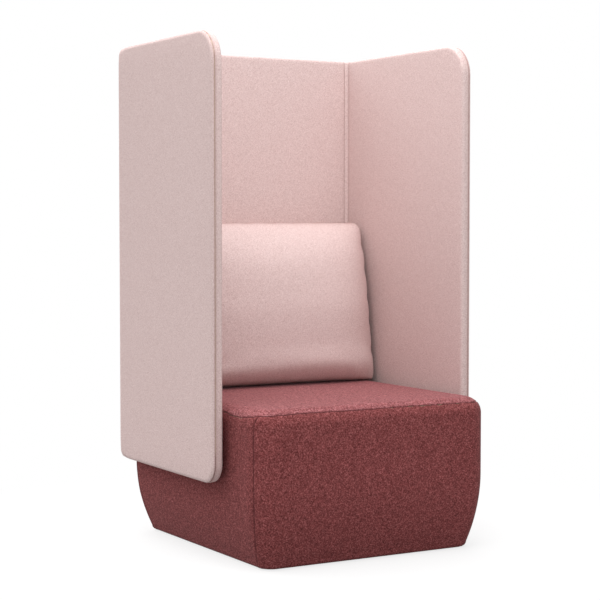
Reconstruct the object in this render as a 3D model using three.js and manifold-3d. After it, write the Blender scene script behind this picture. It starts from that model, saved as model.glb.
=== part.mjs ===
import * as THREE from 'three';
import { mergeVertices } from 'three/addons/utils/BufferGeometryUtils.js';
import Module from 'manifold-3d';

// Acoustic high back lounge chair: an upholstered block seat inside a tall padded screen of three
// walls, with a loose back cushion. Millimetres, +Z up. The sitter faces -Y, and the origin is on the
// floor under the middle of the chair.

// Screen
const screenWidth = 830;
const screenDepth = 653;
const screenTop = 1440;
const screenBottom = 217;
const screenThickness = 32;
const screenFlare = 8; // how much further out each side wall stands at its front edge
const screenFrontRadius = 88; // of the two front corners, seen from the side
const innerCornerRadius = 10; // where two walls meet, seen from above
const rearSoftness = 1.4; // how much higher the outer edge rolls over at the rear corners
const rearSoftReach = 45; // how far before a rear corner that begins
const screenSeamDepth = 8; // of the edge seam, from the outer face
const screenBoardThickness = 12;
const screenBoardSetback = 3; // of the boards' edges, inside the cover's outer line

// Base block
const baseReach = 163; // how far the seat stands in front of the screen
const screenStandOff = 10; // free space between the screen and the base
const floorClearance = 2;
const edgeTop = 430; // height where the rounded upper edge ends
const edgeRadius = 45;
const seatCrown = 8;
const drawIn = 36; // how far the sides have drawn in at the floor
const drawInHeight = 215;
const bottomRoll = 14;
const frontCornerRadius = 66;
const rearCornerRadius = 14;
const cornerShare = 0.7; // how fast a corner tightens as the outline shrinks
const frontSeamSetback = 40; // of the front cover's seam, round the corner
const rearSeamSetback = 15;

// Upholstery and frame
const coverThickness = 2;
const fitGap = 0.3; // between pieces that touch
const boardThickness = 18;
const sideFoamLeast = 6; // foam outside the frame, where it is thinnest
const deckHeight = 338; // top of the side boards
const webbingThickness = 2;
const webbingWidth = 50;
const strapsAcross = 5;
const strapsAlong = 5;
const topperThickness = 32;
const clothMargin = 26; // hem of the covers under the base, outside the dust cloth
const floorBoardThickness = 15;
const cornerBlockSide = 42;

// Glides
const glideRadius = 20;
const glideInset = 70; // from the frame's corner to the glide's axis
const glideNailRadius = 2.2;
const glideNailLength = 12;

// Fixings between the screen and the base frame
const sleeveRadius = 11;
const boltRadius = 4;
const boltHeadRadius = 8;
const boltHeadHeight = 4.5;
const fixingDrop = 42; // of their axes below the deck
const fixingFrontSetback = 150; // from the screen's front edge to the first fixing
const fixingRearSetback = 190; // from the screen's rear face to the second

// Back cushion
const cushionSideGap = 7; // between the cushion's seam and each side wall
const cushionHeight = 532;
const cushionThickness = 254;
const cushionLean = 10.5; // degrees
const cushionFoot = 216; // from the screen's outer rear face to the foot of the cushion's middle plane
const cushionSink = 38; // how far the foot is pressed flat by the seat
const cushionDrawnShare = 0.008; // how far the sides pull in between the corners
const cushionCornerRadius = 30;
const cushionFullness = 2.6; // power of the crown up the cushion, higher is flatter in the middle
const cushionBreadth = 4; // the same across it
const cushionSlimness = 0.66; // power of the crown's rise from the seam, higher is slimmer
const cushionFootSlimness = 0.46; // the same at the foot, where the filling has settled
const cushionRim = 5; // half thickness at the seam
const zipLength = 330;
const zipWidth = 22;
const zipTapeThickness = 1.5;
const zipHeightShare = 0.52; // below the middle, as a share of half the cushion's height
const sliderLength = 16;
const sliderWidth = 9;
const sliderHeight = 3;

// One overrun serves all cuts
const overrun = 4;

// Sizes that follow from the ones above
const screenCornerRadius = innerCornerRadius + screenThickness;
const frontEdge = -(screenDepth + baseReach) / 2;
const screenFront = frontEdge + baseReach;
const screenRear = screenFront + screenDepth;
const baseHalfWidth = screenWidth / 2 - screenThickness - screenStandOff;
const baseRear = screenRear - screenThickness - screenStandOff;
const layerInset = coverThickness + fitGap;
const seamHeight = edgeTop - edgeRadius * (1 - Math.SQRT1_2);
const seatTop = edgeTop + seatCrown;
const frameInset = drawIn + coverThickness + fitGap + sideFoamLeast;
const frameHalfWidth = baseHalfWidth - frameInset;
const frameFront = frontEdge + frameInset;
const frameRear = baseRear - frameInset;
const frameBottom = floorClearance + coverThickness + fitGap;
const boardDepthFrom = (screenThickness - screenBoardThickness) / 2;
const boardDepthTo = boardDepthFrom + screenBoardThickness;
const fixingHeight = deckHeight - fixingDrop;
const cushionWidth = screenWidth - 2 * (screenThickness + cushionSideGap);

const colours = {
  blush: 0xd0b8b4,
  rose: 0x7a4648,
  foam: 0xe6dcc0,
  plywood: 0xc49a68,
  beech: 0xc9a06c,
  steel: 0x9a9ea2,
  nylon: 0x2a2a2c,
  webbing: 0x2f2c2a,
  cloth: 0x26262a,
};

const manifold = await Module();
manifold.setup();

// Closed solids

function toManifold(geometry) {
  const bare = geometry.clone();
  bare.deleteAttribute('normal');
  bare.deleteAttribute('uv');
  const merged = mergeVertices(bare);
  const mesh = new manifold.Mesh({
    numProp: 3,
    vertProperties: new Float32Array(merged.attributes.position.array),
    triVerts: new Uint32Array(merged.index.array),
  });
  return new manifold.Manifold(mesh);
}

function toGeometry(solid) {
  const mesh = solid.getMesh();
  const geometry = new THREE.BufferGeometry();
  geometry.setAttribute('position', new THREE.BufferAttribute(mesh.vertProperties, 3));
  geometry.setIndex(new THREE.BufferAttribute(mesh.triVerts, 1));
  geometry.computeVertexNormals();
  return geometry;
}

// A solid through a row of closed lines with as many points each; caps lists the end faces' triangles
function solidThrough(rings, caps) {
  const size = rings[0].length;
  const faces = [];
  for (let r = 0; r < rings.length - 1; r += 1) {
    for (let i = 0; i < size; i += 1) {
      const here = r * size + i;
      const next = r * size + ((i + 1) % size);
      faces.push(here, next, next + size, here, next + size, here + size);
    }
  }
  const last = (rings.length - 1) * size;
  for (const [a, b, c] of caps) {
    faces.push(a, c, b, last + a, last + b, last + c);
  }
  const geometry = new THREE.BufferGeometry().setFromPoints(rings.flat());
  geometry.setIndex(faces);
  return toManifold(geometry);
}

function fanCaps(size) {
  return Array.from({ length: size - 2 }, (_, i) => [0, i + 1, i + 2]);
}

function ladderCaps(size) {
  const caps = [];
  for (let i = 0; i < size / 2 - 1; i += 1) {
    caps.push([i, i + 1, size - 2 - i], [i, size - 2 - i, size - 1 - i]);
  }
  return caps;
}

function box(low, high) {
  const size = high.map((value, i) => value - low[i]);
  const geometry = new THREE.BoxGeometry(...size);
  geometry.translate(...low.map((value, i) => value + size[i] / 2));
  return toManifold(geometry);
}

function rod(radius, from, to, sides = 12) {
  const start = new THREE.Vector3(...from);
  const run = new THREE.Vector3(...to).sub(start);
  const geometry = new THREE.CylinderGeometry(radius, radius, run.length(), sides);
  const turn = new THREE.Quaternion().setFromUnitVectors(new THREE.Vector3(0, 1, 0), run.clone().normalize());
  geometry.applyQuaternion(turn);
  geometry.translate(...start.addScaledVector(run, 1 / 2));
  return toManifold(geometry);
}

function cutAll(solid, cutters) {
  return cutters.reduce((rest, cutter) => rest.subtract(cutter), solid);
}

// Evenly spaced values from one end to the other, both included
function spread(from, to, steps) {
  return Array.from({ length: steps + 1 }, (_, i) => from + ((to - from) * i) / steps);
}

// The chair as a scene graph

const chair = new THREE.Group();

function add(name, solid, colour, roughness, { metalness = 0, at = [0, 0, 0], parent = chair } = {}) {
  const material = new THREE.MeshStandardMaterial({ color: colours[colour], roughness, metalness });
  const mesh = new THREE.Mesh(toGeometry(solid), material);
  mesh.name = name;
  mesh.position.set(...at);
  parent.add(mesh);
  return mesh;
}

// Screen: a U seen from above, measured along its outer face from the front left edge

const sideLength = screenDepth - screenCornerRadius;
const cornerLength = (screenCornerRadius * Math.PI) / 2;
const rearLength = screenWidth - 2 * screenCornerRadius;
const screenLength = 2 * (sideLength + cornerLength) + rearLength;
const cornerStart = sideLength;
const cornerEnd = sideLength + cornerLength;

// How far a side wall has swung out, at a distance from its front edge
function flareAt(run) {
  return screenFlare * (1 - run / sideLength);
}

function screenPoint(along, depth, height) {
  const mirrored = along > screenLength / 2;
  const run = mirrored ? screenLength - along : along;
  let x = -screenWidth / 2 - flareAt(run) + depth;
  let y = screenFront + run;
  if (run > cornerEnd) {
    x = -screenWidth / 2 + screenCornerRadius + run - cornerEnd;
    y = screenRear - depth;
  } else if (run > cornerStart) {
    const turn = (run - cornerStart) / screenCornerRadius;
    x = -screenWidth / 2 + screenCornerRadius - (screenCornerRadius - depth) * Math.cos(turn);
    y = screenRear - screenCornerRadius + (screenCornerRadius - depth) * Math.sin(turn);
  }
  return new THREE.Vector3(mirrored ? -x : x, y, height);
}

const softStart = cornerStart - rearSoftReach;
const softEnd = cornerEnd + rearSoftReach;

// 0 on the flat walls and 1 round the rear corners
function cornerShareAt(along) {
  const run = Math.min(along, screenLength - along);
  const rise = Math.min((run - softStart) / rearSoftReach, (softEnd - run) / rearSoftReach, 1);
  return Math.max(rise, 0);
}

function mirroredStations(half) {
  return [...half, ...half.map((value) => screenLength - value).reverse()];
}

const wallStations = mirroredStations([
  softStart,
  (softStart + cornerStart) / 2,
  ...spread(cornerStart, cornerEnd, 4),
  (cornerEnd + softEnd) / 2,
  softEnd,
]);

// The closed line round the screen's edge, at one angle of the edge's roll, from -90 outside to 90 inside
function screenRing(inset, angle) {
  const roll = screenThickness / 2 - inset;
  const depth = screenThickness / 2 + roll * Math.sin(angle);
  const setback = roll * (1 - Math.cos(angle));
  const radius = screenFrontRadius - inset - setback;
  const soft = angle < 0 ? rearSoftness : 0;
  const front = spread(0, Math.PI / 2, 5).map((turn) => [
    screenFrontRadius - radius * Math.cos(turn),
    screenFrontRadius - radius * Math.sin(turn),
  ]);
  const walls = wallStations.map((along) => [along, inset + setback * (1 + soft * cornerShareAt(along))]);
  const rear = front.map(([along, drop]) => [screenLength - along, drop]).reverse();
  const stations = [...front, ...walls, ...rear];
  return [
    ...stations.map(([along, drop]) => screenPoint(along, depth, screenTop - drop)),
    ...stations.map(([along, drop]) => screenPoint(along, depth, screenBottom + drop)).reverse(),
  ];
}

function softScreen(inset) {
  const rings = spread(Math.PI / 2, -Math.PI / 2, 6).map((angle) => screenRing(inset, angle));
  return solidThrough(rings, ladderCaps(rings[0].length));
}

// A plain strip of wall between two places along the screen and two depths
function screenStrip(from, to, depthFrom, depthTo) {
  const low = screenBottom - overrun;
  const high = screenTop + overrun;
  const bends = [
    ...spread(cornerStart, cornerEnd, 4),
    ...spread(screenLength - cornerEnd, screenLength - cornerStart, 4),
  ].filter((along) => along > from && along < to);
  const rings = [from, ...bends, to].map((along) => [
    screenPoint(along, depthFrom, low),
    screenPoint(along, depthFrom, high),
    screenPoint(along, depthTo, high),
    screenPoint(along, depthTo, low),
  ]);
  return solidThrough(rings, fanCaps(rings[0].length));
}

const outside = -overrun;
const inside = screenThickness + innerCornerRadius / 2;
const halfGap = fitGap / 2;

// Side walls run to the rear corner's start, or past the corner where the piece goes round it
function sideStrips(end, depthFrom, depthTo) {
  return {
    left: screenStrip(-overrun, end - halfGap, depthFrom, depthTo),
    right: screenStrip(screenLength - end + halfGap, screenLength + overrun, depthFrom, depthTo),
  };
}

function rearStrip(depthFrom, depthTo) {
  return screenStrip(cornerEnd + halfGap, screenLength - cornerEnd - halfGap, depthFrom, depthTo);
}

function cornerStrips(depthFrom, depthTo) {
  const from = cornerStart + halfGap;
  const to = cornerEnd - halfGap;
  return {
    left: screenStrip(from, to, depthFrom, depthTo),
    right: screenStrip(screenLength - to, screenLength - from, depthFrom, depthTo),
  };
}

// Fixings: a bolt and a spacer sleeve each, from the base frame out into the screen's side boards

const fixingPlaces = ['left', 'right'].flatMap((side) =>
  ['front', 'rear'].map((end) => ({
    name: `${side}_${end}`,
    sign: side === 'left' ? -1 : 1,
    run: end === 'front' ? fixingFrontSetback : screenDepth - fixingRearSetback,
  })),
);
const sleeveFrom = frameHalfWidth + fitGap;
const boltFrom = frameHalfWidth - boardThickness - fitGap;

// Where a fixing meets a depth of the side wall, from the chair's middle
function reachAt(place, depth) {
  return screenWidth / 2 + flareAt(place.run) - depth;
}

function acrossAt(place, radius, from, to) {
  const y = screenFront + place.run;
  return rod(radius, [place.sign * from, y, fixingHeight], [place.sign * to, y, fixingHeight]);
}

const sleeveHoles = fixingPlaces.map((place) =>
  acrossAt(place, sleeveRadius + fitGap, frameHalfWidth, reachAt(place, boardDepthTo)),
);
const boltHoles = fixingPlaces.map((place) =>
  acrossAt(place, boltRadius + fitGap, boltFrom - overrun, reachAt(place, boardDepthFrom)),
);

function addScreen() {
  const whole = softScreen(0);
  const padded = softScreen(layerInset);
  const boards = softScreen(screenBoardSetback);
  const cover = cutAll(whole.subtract(softScreen(coverThickness)), sleeveHoles);
  const foam = cutAll(padded, sleeveHoles);
  const seamOuter = screenSeamDepth - halfGap;
  const seamInner = screenSeamDepth + halfGap;
  const corners = cornerStrips(seamInner, inside);
  const posts = cornerStrips(boardDepthFrom, boardDepthTo);

  const wallLayers = [
    ['inner_cover', cover, 'blush', 0.95, cornerStart, seamInner, inside],
    ['outer_cover', cover, 'blush', 0.95, cornerEnd, outside, seamOuter],
    ['inner_foam', foam, 'foam', 0.9, cornerEnd, boardDepthTo + fitGap, inside],
    ['outer_foam', foam, 'foam', 0.9, cornerEnd, outside, boardDepthFrom - fitGap],
    ['board', cutAll(boards, boltHoles), 'plywood', 0.6, cornerStart, boardDepthFrom, boardDepthTo],
  ];
  for (const [layer, body, colour, roughness, end, depthFrom, depthTo] of wallLayers) {
    const strips = { ...sideStrips(end, depthFrom, depthTo), back: rearStrip(depthFrom, depthTo) };
    for (const [wall, strip] of Object.entries(strips)) {
      add(`screen_${wall}_${layer}`, body.intersect(strip), colour, roughness);
    }
  }
  for (const side of ['left', 'right']) {
    add(`screen_${side}_corner_strip`, cover.intersect(corners[side]), 'blush', 0.95);
    add(`screen_${side}_corner_post`, boards.intersect(posts[side]), 'beech', 0.6);
  }
}

// Base: rounded outlines stacked from the floor to the crown of the seat

function cornerArc(centreX, centreY, radius, fromTurn, steps, height) {
  return spread(fromTurn, fromTurn + Math.PI / 2, steps).map(
    (turn) =>
      new THREE.Vector3(centreX + radius * Math.cos(turn), centreY + radius * Math.sin(turn), height),
  );
}

function baseRing([edge, height]) {
  const x = baseHalfWidth - edge;
  const front = frontEdge + edge;
  const rear = baseRear - edge;
  const frontRadius = Math.max(frontCornerRadius - edge * cornerShare, bottomRoll);
  const rearRadius = Math.max(rearCornerRadius - edge * cornerShare, bottomRoll / 2);
  return [
    ...cornerArc(-x + frontRadius, front + frontRadius, frontRadius, Math.PI, 5, height),
    ...cornerArc(x - frontRadius, front + frontRadius, frontRadius, -Math.PI / 2, 5, height),
    ...cornerArc(x - rearRadius, rear - rearRadius, rearRadius, 0, 3, height),
    ...cornerArc(-x + rearRadius, rear - rearRadius, rearRadius, Math.PI / 2, 3, height),
  ];
}

// How far the side stands inside the widest outline, at a height below the rounded upper edge
function drawInAt(height) {
  const low = floorClearance + bottomRoll;
  const share = Math.min(Math.max((height - low) / (drawInHeight - low), 0), 1);
  return drawIn * (1 - share) ** 2;
}

const crownShares = [0.12, 0.3, 0.6];

function baseProfile(inset) {
  const rollCentre = floorClearance + bottomRoll;
  const roll = bottomRoll - inset;
  const upper = edgeRadius - inset;
  const crownReach = (baseRear - frontEdge) / 2 - edgeRadius;
  const bottom = spread(0, Math.PI / 2, 2).map((turn) => [
    drawIn + bottomRoll - roll * Math.sin(turn),
    rollCentre - roll * Math.cos(turn),
  ]);
  const sides = spread(rollCentre, drawInHeight, 4)
    .slice(1)
    .map((height) => [inset + drawInAt(height), height]);
  const edge = spread(0, Math.PI / 2, 4).map((turn) => [
    edgeRadius - upper * Math.cos(turn),
    edgeTop - edgeRadius + upper * Math.sin(turn),
  ]);
  const crown = crownShares.map((share) => [
    edgeRadius + crownReach * share,
    edgeTop - inset + seatCrown * (1 - (1 - share) ** 2),
  ]);
  return [...bottom, ...sides, ...edge, ...crown];
}

function softBase(inset) {
  const rings = baseProfile(inset).map(baseRing);
  return solidThrough(rings, fanCaps(rings[0].length));
}

const farX = baseHalfWidth + overrun;
const farY = baseRear + overrun;
const under = floorClearance - overrun;
const over = seatTop + overrun;

// The hem folded under the base, outside the dust cloth
const hemX = baseHalfWidth - drawIn - bottomRoll - clothMargin;
const hemFront = frontEdge + drawIn + bottomRoll + clothMargin;
const hemRear = baseRear - drawIn - bottomRoll - clothMargin;

// The side covers' space: between two seams that keep their distance from the base's front and rear
// lines all the way down, and outside the hem's inner edge
function sideSpace(shrink) {
  const heights = [under, ...spread(floorClearance + bottomRoll, drawInHeight, 4), over];
  const seamFront = frontEdge + frontSeamSetback + shrink;
  const seamRear = baseRear - rearSeamSetback - shrink;
  const shape = new THREE.Shape([
    ...heights.map((height) => new THREE.Vector2(seamFront + drawInAt(height), height)),
    ...heights.map((height) => new THREE.Vector2(seamRear - drawInAt(height), height)).reverse(),
  ]);
  const geometry = new THREE.ExtrudeGeometry(shape, { depth: 2 * farX, bevelEnabled: false });
  geometry.rotateX(Math.PI / 2);
  geometry.rotateZ(Math.PI / 2);
  geometry.translate(-farX, 0, 0);
  const middle = hemX + shrink;
  return toManifold(geometry).subtract(box([-middle, frontEdge, under - overrun], [middle, farY, over + overrun]));
}

function halfOf(solid, sign) {
  const low = sign < 0 ? -farX : 0;
  const high = sign < 0 ? 0 : farX;
  return solid.intersect(box([low, frontEdge - overrun, under], [high, farY, over]));
}

function addBaseCovers() {
  const skin = cutAll(softBase(0).subtract(softBase(coverThickness)), sleeveHoles);
  const clothTop = floorClearance + coverThickness;
  const opening = box([-hemX, hemFront, under], [hemX, hemRear, clothTop + overrun]);
  const belowSeam = box([-farX, frontEdge - overrun, under], [farX, farY, seamHeight - halfGap]);
  const aboveSeam = box([-farX, frontEdge - overrun, seamHeight + halfGap], [farX, farY, over]);
  const walls = skin.intersect(belowSeam).subtract(opening);
  const sides = walls.intersect(sideSpace(halfGap));
  const ends = walls.subtract(sideSpace(-halfGap));
  const frontHalf = box([-farX, frontEdge - overrun, under], [farX, 0, over]);
  const rearHalf = box([-farX, 0, under], [farX, farY, over]);
  const glideHoles = glidePlaces.map(([x, y]) =>
    rod(glideRadius + fitGap, [x, y, under], [x, y, clothTop + overrun]),
  );
  const cloth = box(
    [-hemX + fitGap, hemFront + fitGap, floorClearance],
    [hemX - fitGap, hemRear - fitGap, clothTop],
  );

  add('seat_top_cover', skin.intersect(aboveSeam), 'rose', 0.95);
  add('base_front_cover', ends.intersect(frontHalf), 'rose', 0.95);
  add('base_left_cover', halfOf(sides, -1), 'rose', 0.95);
  add('base_right_cover', halfOf(sides, 1), 'rose', 0.95);
  add('base_rear_cover', ends.intersect(rearHalf), 'rose', 0.95);
  add('base_dust_cloth', cutAll(cloth, glideHoles), 'cloth', 0.9);
}

// Foam round and over the frame

const webbingBottom = deckHeight + fitGap;
const foamBottom = webbingBottom + webbingThickness + fitGap;
const topperBottom = seatTop - topperThickness;

function addBaseFoam() {
  const filling = cutAll(softBase(layerInset), sleeveHoles);
  const between = (low, high) => box([-farX, frontEdge - overrun, low], [farX, farY, high]);
  const frameSpace = box(
    [-frameHalfWidth - fitGap, frameFront - fitGap, under],
    [frameHalfWidth + fitGap, frameRear + fitGap, foamBottom],
  );
  const round = filling.intersect(between(under, foamBottom - fitGap)).subtract(frameSpace);
  const front = box([-farX, frontEdge - overrun, under], [farX, frameFront - fitGap, over]);
  const rear = box([-farX, frameRear + fitGap, under], [farX, farY, over]);
  const sides = round.subtract(box([-farX, frontEdge - overrun, under], [farX, frameFront, over]))
    .subtract(box([-farX, frameRear, under], [farX, farY, over]));
  add('seat_foam_block', filling.intersect(between(foamBottom, topperBottom - halfGap)), 'foam', 0.9);
  add('seat_foam_topper', filling.intersect(between(topperBottom + halfGap, over)), 'foam', 0.9);
  add('base_front_foam', round.intersect(front), 'foam', 0.9);
  add('base_rear_foam', round.intersect(rear), 'foam', 0.9);
  add('base_left_foam', halfOf(sides, -1), 'foam', 0.9);
  add('base_right_foam', halfOf(sides, 1), 'foam', 0.9);
}

// Frame: an upright plywood box on a floor board, with a corner block in each corner

const glidePlaces = [-1, 1].flatMap((sign) => [
  [sign * (frameHalfWidth - glideInset), frameFront + glideInset],
  [sign * (frameHalfWidth - glideInset), frameRear - glideInset],
]);
const cornerNames = ['left_front', 'left_rear', 'right_front', 'right_rear'];

function addFrame() {
  const wallBottom = frameBottom + floorBoardThickness + fitGap;
  const wallHeight = deckHeight - wallBottom;
  const middleZ = wallBottom + wallHeight / 2;
  const roundedCorners = softBase(layerInset + fitGap);
  const crossBoard = (from, to) =>
    box([-frameHalfWidth, from, wallBottom], [frameHalfWidth, to, deckHeight]).intersect(roundedCorners);
  const sideFrom = frameFront + boardThickness + fitGap;
  const sideTo = frameRear - boardThickness - fitGap;
  add('frame_front_board', crossBoard(frameFront, frameFront + boardThickness), 'plywood', 0.6);
  add('frame_rear_board', crossBoard(frameRear - boardThickness, frameRear), 'plywood', 0.6);

  for (const [side, sign] of [['left', -1], ['right', 1]]) {
    const outer = sign * frameHalfWidth;
    const inner = sign * (frameHalfWidth - boardThickness);
    const board = box(
      [Math.min(outer, inner), sideFrom, wallBottom],
      [Math.max(outer, inner), sideTo, deckHeight],
    );
    add(`frame_${side}_board`, cutAll(board, boltHoles), 'plywood', 0.6);
  }

  const block = toManifold(new THREE.BoxGeometry(cornerBlockSide, cornerBlockSide, wallHeight));
  const blockSet = boardThickness + fitGap + cornerBlockSide / 2;
  cornerNames.forEach((name, i) => {
    const sign = i < 2 ? -1 : 1;
    const y = i % 2 === 0 ? frameFront + blockSet : frameRear - blockSet;
    const at = [sign * (frameHalfWidth - blockSet), y, middleZ];
    add(`frame_${name}_block`, block, 'beech', 0.6, { at });
  });

  const nailHoles = glidePlaces.map(([x, y]) =>
    rod(glideNailRadius + fitGap, [x, y, under], [x, y, frameBottom + glideNailLength + fitGap]),
  );
  const floorBoard = box(
    [-frameHalfWidth, frameFront, frameBottom],
    [frameHalfWidth, frameRear, frameBottom + floorBoardThickness],
  );
  const floor = cutAll(floorBoard.intersect(roundedCorners), nailHoles);
  add('frame_floor_board', floor, 'plywood', 0.6);
}

function addWebbing() {
  const halfDepth = (frameRear - frameFront) / 2;
  const middleY = (frameFront + frameRear) / 2;
  const step = (half, count) => (2 * half - webbingWidth - 2 * boardThickness) / (count + 1);
  const across = new THREE.BoxGeometry(2 * frameHalfWidth, webbingWidth, webbingThickness);
  const alongStrap = new THREE.BoxGeometry(webbingWidth, 2 * halfDepth, webbingThickness - fitGap);
  const straps = [];
  for (let i = 0; i < strapsAcross; i += 1) {
    const y = step(halfDepth, strapsAcross) * (i - (strapsAcross - 1) / 2);
    straps.push(toManifold(across.clone().translate(0, y, 0)));
  }
  for (let i = 0; i < strapsAlong; i += 1) {
    const x = step(frameHalfWidth, strapsAlong) * (i - (strapsAlong - 1) / 2);
    straps.push(toManifold(alongStrap.clone().translate(x, 0, 0)));
  }
  const net = straps.reduce((whole, strap) => whole.add(strap));
  add('seat_webbing', net, 'webbing', 0.9, { at: [0, middleY, webbingBottom + webbingThickness / 2] });
}

function addGlides() {
  const padTop = frameBottom - fitGap;
  const bevel = glideRadius / 8;
  const profile = [
    [0, 0],
    [glideRadius - bevel, 0],
    [glideRadius, bevel],
    [glideRadius, padTop],
    [glideNailRadius, padTop],
    [glideNailRadius, frameBottom + glideNailLength - glideNailRadius],
    [0, frameBottom + glideNailLength],
  ].map(([x, y]) => new THREE.Vector2(x, y));
  const glide = new THREE.LatheGeometry(profile, 12);
  glide.rotateX(Math.PI / 2);
  const solid = toManifold(glide);
  cornerNames.forEach((name, i) => {
    add(`glide_${name}`, solid, 'nylon', 0.5, { at: [...glidePlaces[i], 0] });
  });
}

function addFixings() {
  for (const place of fixingPlaces) {
    const sleeveTo = reachAt(place, boardDepthTo + fitGap);
    const boltTo = reachAt(place, boardDepthFrom + fitGap);
    const sleeve = acrossAt(place, sleeveRadius, sleeveFrom, sleeveTo);
    const bore = acrossAt(place, boltRadius + fitGap, sleeveFrom - overrun, sleeveTo + overrun);
    add(`spacer_sleeve_${place.name}`, sleeve.subtract(bore), 'steel', 0.35, { metalness: 1 });
    const shank = acrossAt(place, boltRadius, boltFrom - boltHeadHeight / 2, boltTo);
    const head = acrossAt(place, boltHeadRadius, boltFrom - boltHeadHeight, boltFrom);
    add(`screen_bolt_${place.name}`, shank.add(head), 'steel', 0.35, { metalness: 1 });
  }
}

// Back cushion, in its own leaning frame: x across, z up the cushion, y through it towards the rear

const leanTurn = THREE.MathUtils.degToRad(cushionLean);
const cushion = new THREE.Group();
cushion.position.set(0, screenRear - cushionFoot, seatTop - cushionSink);
cushion.rotation.x = -leanTurn;
cushion.updateMatrixWorld();
chair.add(cushion);

const fillShares = [1, 0.97, 0.88, 0.72, 0.5, 0.25, 0.03];

// One corner and the side that follows it, from the right side round to the left
function cushionQuarter(halfWidth, halfHeight, radius, turnsFrom, sideSteps) {
  const signX = Math.cos(turnsFrom + Math.PI / 4) > 0 ? 1 : -1;
  const signZ = Math.sin(turnsFrom + Math.PI / 4) > 0 ? 1 : -1;
  const arc = spread(turnsFrom, turnsFrom + Math.PI / 2, 3).map((turn) => [
    signX * (halfWidth - radius) + radius * Math.cos(turn),
    signZ * (halfHeight - radius) + radius * Math.sin(turn),
  ]);
  const [fromX, fromZ] = arc[arc.length - 1];
  const [toX, toZ] = signX === signZ ? [-fromX, fromZ] : [fromX, -fromZ];
  const side = spread(0, 1, sideSteps)
    .slice(1, -1)
    .map((share) => [fromX + (toX - fromX) * share, fromZ + (toZ - fromZ) * share]);
  return [...arc, ...side];
}

// Half the thickness at a place on the face, in shares of half the width and half the height
function crownAt(inset, acrossShare, upShare) {
  const foot = Math.max(-upShare, 0);
  const slimness = cushionSlimness + (cushionFootSlimness - cushionSlimness) * foot ** 2;
  const fill = (1 - Math.abs(acrossShare) ** cushionBreadth) * (1 - Math.abs(upShare) ** cushionFullness);
  return cushionRim - inset + (cushionThickness / 2 - cushionRim) * Math.max(fill, 0) ** slimness;
}

// The outline at a share of its size, its sides drawn in between the corners; face is 1 at the rear
function cushionRing(inset, share, face) {
  const halfWidth = cushionWidth / 2 - inset;
  const halfHeight = cushionHeight / 2 - inset;
  const outline = spread(0, 3, 3).flatMap((quarter) =>
    cushionQuarter(halfWidth, halfHeight, cushionCornerRadius, (quarter * Math.PI) / 2, quarter % 2 ? 4 : 6),
  );
  return outline.map(([x, z]) => {
    const across = x / halfWidth;
    const up = z / halfHeight;
    return new THREE.Vector3(
      share * x * (1 - cushionDrawnShare * (1 - up ** 2)),
      face * crownAt(inset, share * across, share * up),
      cushionHeight / 2 + share * z * (1 - cushionDrawnShare * (1 - across ** 2)),
    );
  });
}

function softCushion(inset) {
  const rear = fillShares.map((share) => cushionRing(inset, share, 1)).reverse();
  const front = fillShares.map((share) => cushionRing(inset, share, -1));
  const rings = [...rear, ...front];
  return solidThrough(rings, fanCaps(rings[0].length));
}

// What the cushion presses against, brought into its leaning frame
function pressedBy(solid) {
  const inverse = cushion.matrixWorld.clone().invert();
  const geometry = toGeometry(solid);
  geometry.applyMatrix4(inverse);
  return toManifold(geometry);
}

function addCushion() {
  const level = box(
    [-screenWidth / 2, frontEdge, floorClearance],
    [screenWidth / 2, screenRear, edgeTop],
  );
  const seat = pressedBy(softBase(-fitGap).add(level));
  const wallFace = screenRear - screenThickness - fitGap;
  const wall = pressedBy(
    box([-screenWidth / 2, wallFace, seamHeight], [screenWidth / 2, screenRear, screenTop]),
  );
  const pressed = (inset) => {
    const lift = new THREE.Matrix4().makeTranslation(0, 0, inset);
    const raised = toManifold(toGeometry(seat).applyMatrix4(lift));
    const forward = new THREE.Matrix4().makeTranslation(0, -inset, 0);
    const moved = toManifold(toGeometry(wall).applyMatrix4(forward));
    return softCushion(inset).subtract(raised).subtract(moved);
  };
  const whole = pressed(0);
  const cover = whole.subtract(pressed(coverThickness));
  const filling = pressed(layerInset);
  const reach = cushionWidth;
  const ahead = box([-reach, -reach, -reach], [reach, -halfGap, reach]);
  const behind = box([-reach, halfGap, -reach], [reach, reach, reach]);

  const zipZ = (cushionHeight / 2) * (1 - zipHeightShare);
  const zipCrown = crownAt(0, zipLength / cushionWidth, -zipHeightShare - zipWidth / cushionHeight);
  const zipFace = zipCrown - coverThickness - zipTapeThickness;
  const zipBox = (margin, from, to) =>
    box(
      [-zipLength / 2 - margin, from, zipZ - zipWidth / 2 - margin],
      [zipLength / 2 + margin, to, zipZ + zipWidth / 2 + margin],
    );
  const slot = zipBox(fitGap, zipFace - zipTapeThickness - fitGap, reach);

  add('cushion_front_cover', cover.intersect(ahead), 'blush', 0.95, { parent: cushion });
  add('cushion_rear_cover', cover.intersect(behind).subtract(slot), 'blush', 0.95, { parent: cushion });
  add('cushion_filling', filling.subtract(slot), 'foam', 0.9, { parent: cushion });
  const tape = zipBox(0, -zipTapeThickness / 2, zipTapeThickness / 2).translate([0, 0, -zipZ]);
  add('cushion_zip', tape, 'blush', 0.8, { parent: cushion, at: [0, zipFace - zipTapeThickness / 2, zipZ] });

  const sliderSolid = toManifold(new THREE.BoxGeometry(sliderLength, sliderHeight, sliderWidth));
  const sliderX = -(zipLength - sliderLength) / 2 + fitGap;
  const at = [sliderX, zipFace + fitGap + sliderHeight / 2, zipZ];
  add('cushion_zip_slider', sliderSolid, 'steel', 0.35, { metalness: 1, parent: cushion, at });
}

addScreen();
addBaseCovers();
addBaseFoam();
addFrame();
addWebbing();
addGlides();
addFixings();
addCushion();

export default chair;
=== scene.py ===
import math

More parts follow.
